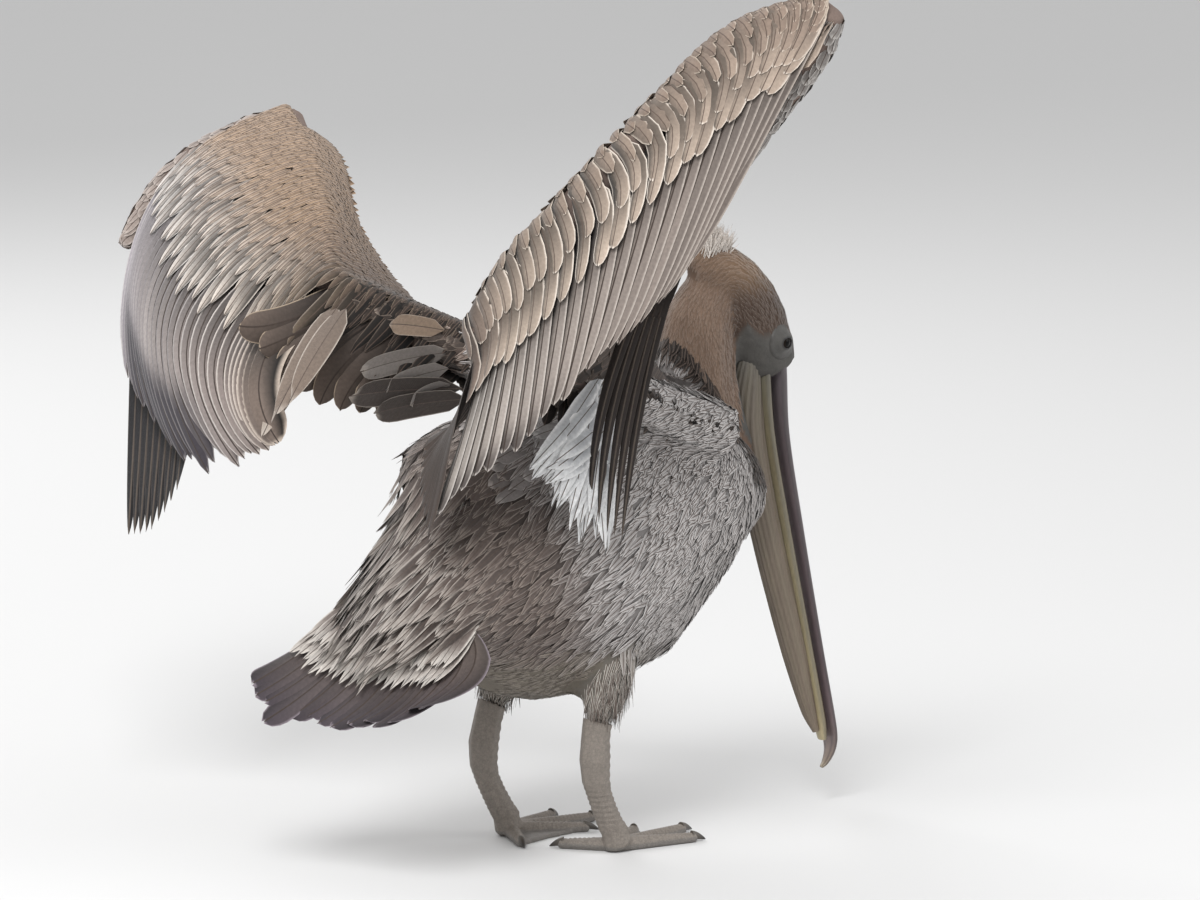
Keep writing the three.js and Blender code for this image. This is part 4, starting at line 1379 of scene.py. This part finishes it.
# a row of dark feathers along that border: partly dark feather edges, partly painted shadow of the crease
# between neck and shoulder
coat_tract(
    body_coat, ("trunk", "neck"), 2.4, 11, 2.2, "point", border_place, columns=3, fringe=0.3, fray=0.0,
    wander=0.25, seed=34, rise=0.22, sink=0.2, thick=0.4,
    colour=even_colour(COLOURS["collar"], COLOURS["collar"]),
)
coat_tract(
    body_coat, ("upper_arm",), 3.1, 16, 2.6, "point", arm_front_place, columns=3, fringe=0.45, jitter=0.16,
    fray=0.0, wander=0.3, seed=33, rise=0.13, sink=0.2, thick=0.35,
)
coat_tract(
    body_coat, ("upper_arm",), 6.5, 22, 4.6, "round", arm_back_place, fringe=0.2, seed=32, rise=0.04,
    colour=even_colour(linear("#4d433d"), linear("#8c7f74")),
)


# ---- tail ----
TAIL_FEATHERS = 14


def tail_rows(count, v, lift=0.0, span=1.0):
    """Tail feather paths, raised by lift, over the share span of the tail from its left edge."""
    g = (np.arange(count) + 0.5) / count * span
    path, across = vane_paths([TAIL[key] for key in ("roots", "middles", "tips")], g, v)
    along = unit(np.gradient(path, axis=1))
    normal = unit(np.cross(across, along))
    normal = normal * np.sign(normal[:, :, 2:3])
    over = unit(np.cross(along, normal))
    centre = (1 - np.abs(2 * g - 1))[:, None, None]
    return path + normal * (lift + 6.0 * centre), normal, over, g


def dress_tail():
    v = rows_of(20, 1.2)
    count = TAIL_FEATHERS
    path, normal, over, g = tail_rows(count, v)
    longer = 0.13 * np.random.default_rng(40).random((count, 1, 1)) * v[None, :, None] ** 2
    path = mix(path, path[:, :1], longer)
    over = over * np.where(g < 0.5, -1, 1)[:, None, None]
    # the inner side of each tail feather is darkened as painted shade under its neighbour
    tint = shaded(count, v, FLIGHT_COLUMNS, linear("#6b5f58"), COLOURS["tail"], 0.5, 0.12, 41, streak=0.15)
    tail = Coat("tail_feathers", FLIGHT, "flight_feathers", ("tail",))
    for some in (g < 0.5, g >= 0.5):  # the outer side changes over at the middle of the tail
        tail.add(
            path[some], normal[some], over[some], np.full(some.sum(), 10.5), "strap", v, tint[some],
            edged(some.sum(), COLOURS["tail_edge"], 0.2), strip_place(count, 0.48)[some],
            columns=FLIGHT_COLUMNS, slope=0.14, cup=0.2, thick=0.9, even_rim=True, rib=0.6, fray=0.03,
            patch=STRIP, seed=42,
        )
    tail.build()
    coverts = Coat("tail_coverts", CONTOUR, "plumage")
    v = rows_of(9)
    for k, (count, reach, lift) in enumerate(((20, 0.62, 5.0), (24, 0.45, 8.0))):
        path, normal, over, g = tail_rows(count, v * reach, lift=lift, span=0.84)
        start = path[:, 0] + np.array([30, 0, 16.0]) * (1 + 0.4 * k)
        path = path + (start - path[:, 0])[:, None] * ((1 - v) ** 1.5)[None, :, None]
        u = np.linspace(-1, 1, 5)
        tint = shaded(count, v, u, COLOURS["back"], COLOURS["tail_covert"], 1, 0.1, 43 + k)
        coverts.add(
            path, normal, over, np.full(count, 8.5), "point", v, tint,
            edged(count, COLOURS["tail_covert_tip"], 0.4), strip_place(count, 0.44 - 0.02 * k),
            columns=5, fray=0.15, seed=45 + k, patch=0.02,
        )
        below = path - normal * (2 * lift + 6)
        below = below - np.array([0, 0, 20.0]) * ((1 - v) ** 1.5)[None, :, None]
        coverts.add(
            below, -normal, over, np.full(count, 8.0), "point", v, tint * 1.1,
            edged(count, COLOURS["belly_tip"], 0.4), strip_place(count, 0.40 - 0.02 * k),
            columns=5, fray=0.15, seed=47 + k, patch=0.02,
        )
    coverts.build()


dress_tail()

# ---- loose feathers with places of their own ----
# Long feathers of the shoulder that lie over the left wing's root: root, tip, half width, colour.
SCAPULARS = [
    ([-36, 104, 383], [-84, 112, 391], 9, "#a8927e"),
    ([-30, 104, 366], [-104, 124, 354], 12, "#9d958f"),
    ([-34, 102, 354], [-84, 118, 339], 12, "#a39b95"),
    ([-34, 100, 342], [-64, 112, 326], 11, "#9a928d"),
    ([-24, 98, 338], [-112, 126, 337], 13, "#463d38"),
    ([-20, 96, 330], [-92, 122, 322], 13, "#4d433d"),
]
# Broad pointed feathers that hang over the innermost secondaries of the left wing.
INNER_FEATHERS = [
    ([-96, 176, 398], [-170, 184, 298], 12, "#a69689"),
    ([-99, 166, 401], [-174, 164, 296], 12, "#9b8b7e"),
    ([-102, 156, 404], [-178, 148, 308], 13, "#a39386"),
    ([-105, 146, 404], [-182, 130, 322], 13, "#96867a"),
    ([-106, 136, 402], [-180, 112, 338], 12, "#8c7c70"),
]


def listed(feathers):
    """Roots, tips, half widths and colours of feathers listed one by one."""
    roots, tips, halves, colours = zip(*feathers)
    return np.array(roots), np.array(tips), np.array(halves, float), np.array([linear(c) for c in colours])


def loose(coat, roots, tips, half, shape, base, edge, fringe, sag, seed, rows=10, slot_row=0.34, facing=None):
    """Feathers from roots to tips that sag outwards by sag mm, each with its flat side to the outside or to
    the way facing."""
    roots, tips = (np.asarray(a, float) for a in (roots, tips))
    count = len(roots)
    outside = unit(np.stack([np.full(count, -0.5), np.sign(roots[:, 1]), np.full(count, 0.3)], 1))
    outside = outside if facing is None else np.broadcast_to(unit(facing), roots.shape)
    v = rows_of(rows)
    path = bow(roots, (roots + tips) / 2 + outside * sag, tips, v)
    along = unit(np.gradient(path, axis=1))
    normal = unit(outside[:, None] - (outside[:, None] * along).sum(-1, keepdims=True) * along)
    over = np.cross(along, normal)
    # roots darkened to 0.75 of the colour: painted shade under the feathers lying over them
    tint = shaded(count, v, np.linspace(-1, 1, 5), np.asarray(base) * 0.75, base, 1.0, 0.08, seed)
    coat.add(
        path, normal, over, half, shape, v, tint, edged(count, edge, fringe), strip_place(count, slot_row),
        columns=5, fray=0.1, seed=seed, patch=0.02, thick=0.7,
    )


TUFT_PLACE = np.array([124, -16, 446])


def dress_shoulders():
    """The listed feathers of the left shoulder, and the long white ones in the right armpit. The left
    armpit's are folded away under its wing."""
    coat = Coat("shoulder_feathers", CONTOUR, "plumage")
    roots, tips, half, base = listed(SCAPULARS)
    loose(coat, roots, tips, half, "round", base, mix(base, linear("#cfc4b8"), 0.5), 0.1, 5, 51)
    roots, tips, half, base = listed(INNER_FEATHERS)
    loose(
        coat, roots, tips, half, "point", base, mix(base, linear("#e0d6cb"), 0.6), 0.15, 7, 53, rows=14,
        slot_row=0.25, facing=[-0.75, -0.6, 0.3],
    )
    random = np.random.default_rng(61)
    count = 120
    spread, layer = random.random((2, count, 1))
    roots = mix(np.array([-40, -84, 366]), np.array([-56, -88, 306]), layer)
    roots = roots + random.normal(size=(count, 3)) * [5, -5, 5]
    tips = mix(np.array([-124, -100, 306]), np.array([-50, -94, 244]), spread)
    tips = mix(tips, roots, 0.45 * layer) + random.normal(size=(count, 3)) * [6, -3, 6]
    loose(
        coat, roots, tips, np.full(count, 6.5), "blade", COLOURS["axillary"], COLOURS["axillary_tip"], 0.6, 8,
        62, slot_row=0.31,
    )
    coat.build()
    dress_crown(random)


def dress_crown(random):
    """The short white tuft on top of the head."""
    count = 620
    spot = np.clip(random.normal(size=(count, 3)), -1.8, 1.8) * [7, 7, 1.2]
    roots = TUFT_PLACE + spot
    roots[:, 2] -= 0.035 * spot[:, 0] ** 2 + 0.02 * spot[:, 1] ** 2
    tips = roots + np.array([1, -2, 13]) + np.clip(random.normal(size=(count, 3)), -1.8, 1.8) * [3.5, 3.5, 4]
    crown = Coat("crown_tuft", VELVET, "plumage")
    loose(
        crown, roots, tips, np.full(count, 0.5), "hair", COLOURS["white"], COLOURS["white"], 0.3, 1, 63,
        rows=5, slot_row=0.28,
    )
    crown.build()


dress_shoulders()
head_coat.build()
body_coat.build()

# ---- bill ----
# Rows are x, y, z, half depth and half width.
BILL_UPPER = [
    [180, -22, 360, 13, 17],
    [182, -22, 348, 12, 17],
    [187, -23, 300, 9, 14],
    [204, -24, 220, 7, 12],
    [224, -25, 130, 5.5, 11],
    [237, -26, 68, 5, 12],
    [240.5, -26, 52, 4.6, 9.5],
    [240, -26, 43, 4.5, 6.5],
    [236, -26, 35, 3.4, 4],
    [232, -26, 31, 2, 2],
]
BILL_LOWER = [
    [173, -21, 374, 1.5, 4],
    [171.5, -21, 358, 3.5, 11],
    [170, -21, 338, 5.3, 15.3],
    [174, -22, 300, 5, 14],
    [193, -23, 220, 4.2, 11],
    [215, -24, 130, 3.8, 9.5],
    [230, -25, 68, 3.5, 8],
    [233.5, -25, 53, 2.6, 5],
]
POUCH = [
    [168, -19, 384, 2, 3],
    [163, -19, 368, 6, 8],
    [158.5, -19, 350, 11, 12],
    [158, -19, 332, 14, 13.5],
    [160, -20, 300, 15, 12],
    [179, -21, 220, 13.5, 9],
    [205, -23, 130, 11.5, 7],
    [221, -24, 76, 6.5, 5],
    [227, -25, 60, 3, 3],
]


def bill_rings(keys, rings, sides, outline):
    """Rings along a bill piece, with each point's width and depth in its ring given by outline."""
    keys = np.array(keys, float)
    share = np.linspace(0, 1, rings)
    at = line(keys[:, :3], share)
    sizes = line(np.c_[keys[:, 3:], 10.0 * np.arange(len(keys))], share)
    along = unit(np.gradient(at, axis=0))
    wide = unit(HEAD_AXIS - (along @ HEAD_AXIS)[:, None] * along)
    high = np.cross(along, wide)
    turn = np.linspace(0, 2 * math.pi, sides, endpoint=False)
    across, tall = outline(turn[None], share[:, None])
    points = at[:, None] + wide[:, None] * (across * sizes[:, 1:2])[..., None]
    points = points + high[:, None] * (tall * sizes[:, :1])[..., None]
    return points, turn, share


def upper_outline(turn, share):
    """A low roof: a rounded ridge along the middle, a groove each side of it, and sharp cutting edges."""
    across, tall = np.cos(turn), np.sin(turn)
    ridge = 0.32 * np.exp(-((across / 0.26) ** 2))
    groove = -0.3 * np.exp(-(((np.abs(across) - 0.52) / 0.14) ** 2))
    relief = np.where(tall > 0, ridge + groove, 0) * np.minimum(1, 14 * share * (1 - share))
    return across, np.where(tall > 0, 0.75 * tall, 0.45 * tall) + relief


def plain_outline(turn, share):
    return np.cos(turn), np.sin(turn)


def pouch_outline(turn, share):
    """A hanging fold, pleated lengthways, deepest along its lower edge."""
    pleat = 0.035 * np.sin(turn * 22 + 3 * np.sin(share * 9)) * np.minimum(1, 12 * share * (1 - share))
    across, tall = np.cos(turn), np.sin(turn)
    keel = 1 - 0.25 * smooth(0.0, 1.0, -tall)
    return across * keel * (1 + pleat), tall * (1 + pleat)


def bill_piece(name, keys, rings, sides, outline, material, node, colours):
    points, turn, share = bill_rings(keys, rings, sides, outline)
    faces = ring_faces(rings, sides)
    made = new_piece(name, points.reshape(-1, 3), faces, material, (node,), sharp=50)
    colour_layer(made.data, "tint", colours(turn[None], share[:, None]).reshape(-1, 3))


def blended(stops, share):
    """Colours along the bill: stops are pairs of a share of its length and a hex colour."""
    at = [stop[0] for stop in stops]
    colours = np.array([linear(stop[1]) for stop in stops])
    return np.stack([np.interp(share, at, colours[:, k]) for k in range(3)], -1)


UPPER_STOPS = [(0, "#62636a"), (0.12, "#635c61"), (0.5, "#6f6166"), (0.85, "#8b7c72"), (1, "#a3967f")]
LOWER_STOPS = [(0, "#505254"), (0.15, "#5f5f59"), (0.4, "#837b64"), (0.7, "#988d70"), (1, "#ab9e7c")]
POUCH_STOPS = [(0, "#4f504e"), (0.12, "#55544f"), (0.3, "#615a51"), (0.6, "#6c6053"), (1, "#76685a")]


def upper_colours(turn, share):
    across = np.abs(np.cos(turn))
    groove = np.exp(-(((across - 0.55) / 0.16) ** 2))[..., None]
    # the cutting edge is darkened: painted shade of the gap between the mandibles
    rim = smooth(0.86, 1.0, across)[..., None]
    horn = mix(blended(UPPER_STOPS, share), linear("#4a4247"), 0.55 * groove)
    return mix(horn, linear("#3b3434"), 0.7 * rim)


def lower_colours(turn, share):
    # the cutting edge is darkened: painted shade of the gap between the mandibles
    rim = smooth(0.8, 1.0, np.abs(np.cos(turn)))[..., None]
    return mix(blended(LOWER_STOPS, share), linear("#5b5750"), 0.6 * rim)


def pouch_colours(turn, share):
    streak = (0.5 + 0.5 * np.sin(turn * 9 + 2 * np.sin(share * 7)))[..., None]
    keel = smooth(0.55, 1.0, -np.sin(turn))[..., None]
    fold = mix(blended(POUCH_STOPS, share), linear("#85806a"), 0.14 * streak)
    return mix(fold, linear("#4b423b"), 0.4 * keel)


bill_piece("bill_sheath_upper", BILL_UPPER, 90, 48, upper_outline, HORN, "bill_upper", upper_colours)
bill_piece("bill_sheath_lower", BILL_LOWER, 70, 32, plain_outline, HORN, "bill_lower", lower_colours)
bill_piece("throat_pouch", POUCH, 80, 96, pouch_outline, POUCH_SKIN, "pouch", pouch_colours)

# ---- eyes ----
PUPIL = math.radians(17)
IRIS = math.radians(40)
AHEAD = np.array([0.32, 0, -0.06])  # how far the eyes look forwards and down


def round_the_gaze(side):
    """The eye's middle, the way it looks, and two ways across that."""
    place = EYE_PLACE + HEAD_AXIS * side * EYE_APART
    gaze = unit(HEAD_AXIS * side + AHEAD)
    forward = unit(np.cross(gaze, [0, 0, 1.0]))
    return place, gaze, forward, np.cross(forward, gaze)


def eye_points(place, gaze, circle, tilt, radius):
    """Points at angles tilt off the gaze and radius from the eye's middle, on the side circle points to."""
    return place + (radius * np.cos(tilt))[..., None] * gaze + (radius * np.sin(tilt))[..., None] * circle


def facing_out(faces, gaze, forward, upward):
    return [face[::-1] for face in faces] if np.dot(np.cross(forward, upward), gaze) > 0 else faces


def eye(name, side):
    place, gaze, forward, upward = round_the_gaze(side)
    rings, sides = 36, 40
    tilt = np.linspace(0.02, math.pi - 0.02, rings)
    turn = np.linspace(0, 2 * math.pi, sides, endpoint=False)
    radius = EYE_RADIUS * (0.97 + 0.05 * np.exp(-((tilt / 0.5) ** 2)))  # the clear front bulges a little
    circle = forward * np.cos(turn)[:, None] + upward * np.sin(turn)[:, None]
    points = eye_points(place, gaze, circle, tilt[:, None], radius[:, None])
    faces = facing_out(ring_faces(rings, sides), gaze, forward, upward)
    made = new_piece(f"eyeball_{name}", points.reshape(-1, 3), faces, EYE, (f"eye_{name}",), sharp=180)
    iris = mix(linear("#120c09"), linear("#2a1e16"), smooth(PUPIL, IRIS, tilt)[:, None])
    tint = np.where((tilt < PUPIL)[:, None], linear("#050506"), iris)
    tint = np.where((tilt > IRIS)[:, None], linear("#14100f"), tint)
    colour_layer(made.data, "tint", np.repeat(tint, sides, axis=0))


# Section of an eyelid's face from the opening outwards, and then of its underside back inwards: degrees past
# the opening's edge, and mm above the eyeball.
LID_FACE = [(0, 0.1), (-1.0, 0.5), (1, 0.9), (5, 1.1), (10, 0.9), (15, 1.1), (22, 1.1)]
LID_UNDERSIDE = [(26, -0.9), (8, -0.4)]
# Between the two the lid runs out over the skin: mm from the eye's middle, ahead of it, and off the skin.
LID_SKIRT = [(10.6, 3.5, 0.5), (13.5, 1.0, 0.1), (13.5, 1.0, -1.2)]


def eyelid(name, side):
    place, gaze, forward, upward = round_the_gaze(side)
    sides = 56
    turn = np.linspace(0, 2 * math.pi, sides, endpoint=False)
    opening = np.radians(30 + 4 * np.cos(2 * turn))
    circle = forward * np.cos(turn)[:, None] + upward * np.sin(turn)[:, None]

    def off_the_eyeball(section):
        past, above = np.array(section, float).T
        tilt = opening[:, None] + np.radians(past)
        wrinkle = 0.12 * np.sin(9 * turn)[:, None] * (above > 0.5)
        return eye_points(place, gaze, circle[:, None], tilt, EYE_RADIUS + above + wrinkle)

    skirt = []
    for across, ahead, height in LID_SKIRT:
        spots, normals, _ = settle(place + across * circle + ahead * gaze)
        skirt.append(spots + normals * height)
    points = [off_the_eyeball(LID_FACE), np.stack(skirt, 1), off_the_eyeball(LID_UNDERSIDE)]
    points = np.concatenate(points, axis=1)
    count = points.shape[1]
    faces = []
    for i in range(sides):
        here, there = i * count, (i + 1) % sides * count
        for k in range(count):
            after = (k + 1) % count
            faces.append([here + k, here + after, there + after, there + k])
    faces = facing_out(faces, gaze, forward, upward)
    made = new_piece(f"eyelid_{name}", points.reshape(-1, 3), faces, FACE_SKIN, sharp=180)
    past = [row[0] for row in LID_FACE] + [30] * len(LID_SKIRT) + [row[0] for row in LID_UNDERSIDE]
    pale = smooth(1, 12, np.array(past))  # dark at the rim of the opening
    tint = mix(linear("#232122"), COLOURS["face"], pale[None, :, None])
    colour_layer(made.data, "tint", np.tile(tint, (sides, 1, 1)).reshape(-1, 3))


for side_name, side_sign in SIDES.items():
    eye(side_name, side_sign)
    eyelid(side_name, side_sign)

# ---- legs and feet ----
# Toes of a foot: turn from the middle toe towards the body in degrees, length, and claw length.
TOES = {"inner": (26, 60, 12), "middle": (0, 80, 14), "outer": (-23, 66, 12), "hind": (115, 44, 11)}
FOOT_TURN = {"left": 2, "right": 12}  # degrees towards the middle plane
FOOT_PLACES = {"left": np.array([-20.0, STANCE, 0]), "right": np.array([7.0, -STANCE, 0])}


def toe_way(name, turn):
    inward = math.radians(turn + FOOT_TURN[name])
    return np.array([math.cos(inward), -SIDES[name] * math.sin(inward), 0])


def leg(name):
    nodes = (f"shank_{name}", f"foot_{name}")
    points, quads = remeshed(*joined(nodes), LEG_VOXEL)
    points = smoothed(points, quads, 6)
    normals = normals_of(points, quads)
    z = points[:, 2]
    flat = points[:, :2] - FOOT_PLACES[name][:2]
    out = np.linalg.norm(flat, axis=1)
    # folds round the ankle, plates down the front of the shank, and scutes across the toes
    rings = 0.3 * np.sin(z * 2 * math.pi / 4.2) * smooth(16, 24, z) * smooth(60, 44, z)
    plates = 0.28 * np.sin(z * 2 * math.pi / 7.5) * smooth(44, 60, z) * smooth(0.0, 0.5, normals[:, 0])
    scutes = 0.3 * np.sin(out * 2 * math.pi / 3.6) * smooth(14, 24, out) * smooth(4.5, 6.0, z) * (z < 14)
    points = points + normals * (rings + plates + scutes)[:, None]
    points[:, 2] = np.maximum(points[:, 2], 0.05)
    faces = quads.ravel(), np.full(len(quads), 4)
    made = new_piece(f"leg_skin_{name}", points, faces, LEG_SKIN, nodes, sharp=180)
    web = smooth(5.5, 3.6, points[:, 2])[:, None]
    tint = mix(COLOURS["leg"], linear("#6c6a68"), 0.6 * web)
    tint = mix(tint, linear("#5b5650"), 0.5 * smooth(100, 125, points[:, 2])[:, None])
    colour_layer(made.data, "tint", tint)


def claw(name, toe):
    turn, length, claw_length = TOES[toe]
    way = toe_way(name, turn)
    rings, sides = 14, 14
    share = np.linspace(0, 1, rings)
    at = FOOT_PLACES[name] + way * (length + share[:, None] * claw_length - 2)
    at[:, 2] = 1.2 + 4.2 * (1 - share**1.6)
    radius = 3.3 * (1 - share**1.5) ** 0.8 + 0.25
    radius = np.minimum(radius, at[:, 2] - 0.1 + 0.8)
    turns = np.linspace(0, 2 * math.pi, sides, endpoint=False)
    wide = np.array([-way[1], way[0], 0])
    circle = wide * 0.85 * np.cos(turns)[:, None] + np.array([0, 0, 1.0]) * np.sin(turns)[:, None]
    points = at[:, None] + radius[:, None, None] * circle
    points[..., 2] = np.maximum(points[..., 2], 0.1)
    made = new_piece(
        f"claw_sheath_{toe}_{name}", points.reshape(-1, 3), ring_faces(rings, sides), CLAW_HORN,
        (f"claw_{toe}_{name}",),
    )
    tint = mix(linear("#5a544d"), linear("#24201e"), share[:, None])
    colour_layer(made.data, "tint", np.repeat(tint, sides, axis=0))


for side_name in SIDES:
    leg(side_name)
    for toe_name in TOES:
        claw(side_name, toe_name)

# ---- floor, light and camera ----
FLOOR_REACH = 14.0
# Place, size and power of each soft panel, and the point that all of them face.
PANELS = {
    "key": ((-2.2, -1.6, 3.0), 1.6, 105),
    "fill": ((2.4, -2.6, 1.6), 2.2, 28),
    "back": ((0.6, 2.8, 2.4), 2.0, 40),
}
PANEL_AIM = Vector((0, 0, 0.35))
ROOM_LIGHT = 0.86
CAMERA_TURN = math.radians(40)
CAMERA_RISE = math.radians(9)
CAMERA_AWAY = 5.0
CAMERA_AIM = np.array([18, -14, 300]) * MM + ORIGIN


def lay_floor():
    """Matt pale paint, which takes soft shadows and no reflection."""
    paint, tree = new_material("pale_floor_paint")
    surface = add(tree, "BsdfPrincipled", {"Base Color": rgba("#dcdcdc"), "Roughness": 0.8})
    add(tree, "OutputMaterial", {"Surface": surface})
    mesh = bpy.data.meshes.new("floor")
    corners = [(x * FLOOR_REACH, y * FLOOR_REACH, 0) for x, y in ((-1, -1), (1, -1), (1, 1), (-1, 1))]
    mesh.from_pydata(corners, [], [(0, 1, 2, 3)])
    mesh.materials.append(paint)
    floor = bpy.data.objects.new("floor", mesh)
    bpy.context.scene.collection.objects.link(floor)


def light_studio():
    world = bpy.data.worlds.new("studio")
    world.use_nodes = True
    background = world.node_tree.nodes["Background"]
    background.inputs["Color"].default_value = rgba("#e6e6e6")
    background.inputs["Strength"].default_value = ROOM_LIGHT
    bpy.context.scene.world = world
    for name, (place, size, power) in PANELS.items():
        light = bpy.data.lights.new(name, "AREA")
        light.size = size
        light.energy = power
        lamp = bpy.data.objects.new(name, light)
        lamp.location = place
        lamp.rotation_euler = (PANEL_AIM - Vector(place)).to_track_quat("-Z", "Y").to_euler()
        bpy.context.scene.collection.objects.link(lamp)
    bpy.context.scene.view_settings.view_transform = "Standard"


def set_camera():
    data = bpy.data.cameras.new("camera")
    data.lens = 200
    data.sensor_width = 36
    made = bpy.data.objects.new("camera", data)
    bpy.context.scene.collection.objects.link(made)
    ahead = np.array([math.sin(CAMERA_TURN), math.cos(CAMERA_TURN), 0]) * math.cos(CAMERA_RISE)
    ahead[2] = -math.sin(CAMERA_RISE)
    made.location = CAMERA_AIM - ahead * CAMERA_AWAY
    made.rotation_euler = Vector(ahead).to_track_quat("-Z", "Y").to_euler()
    bpy.context.scene.camera = made


lay_floor()
light_studio()
set_camera()
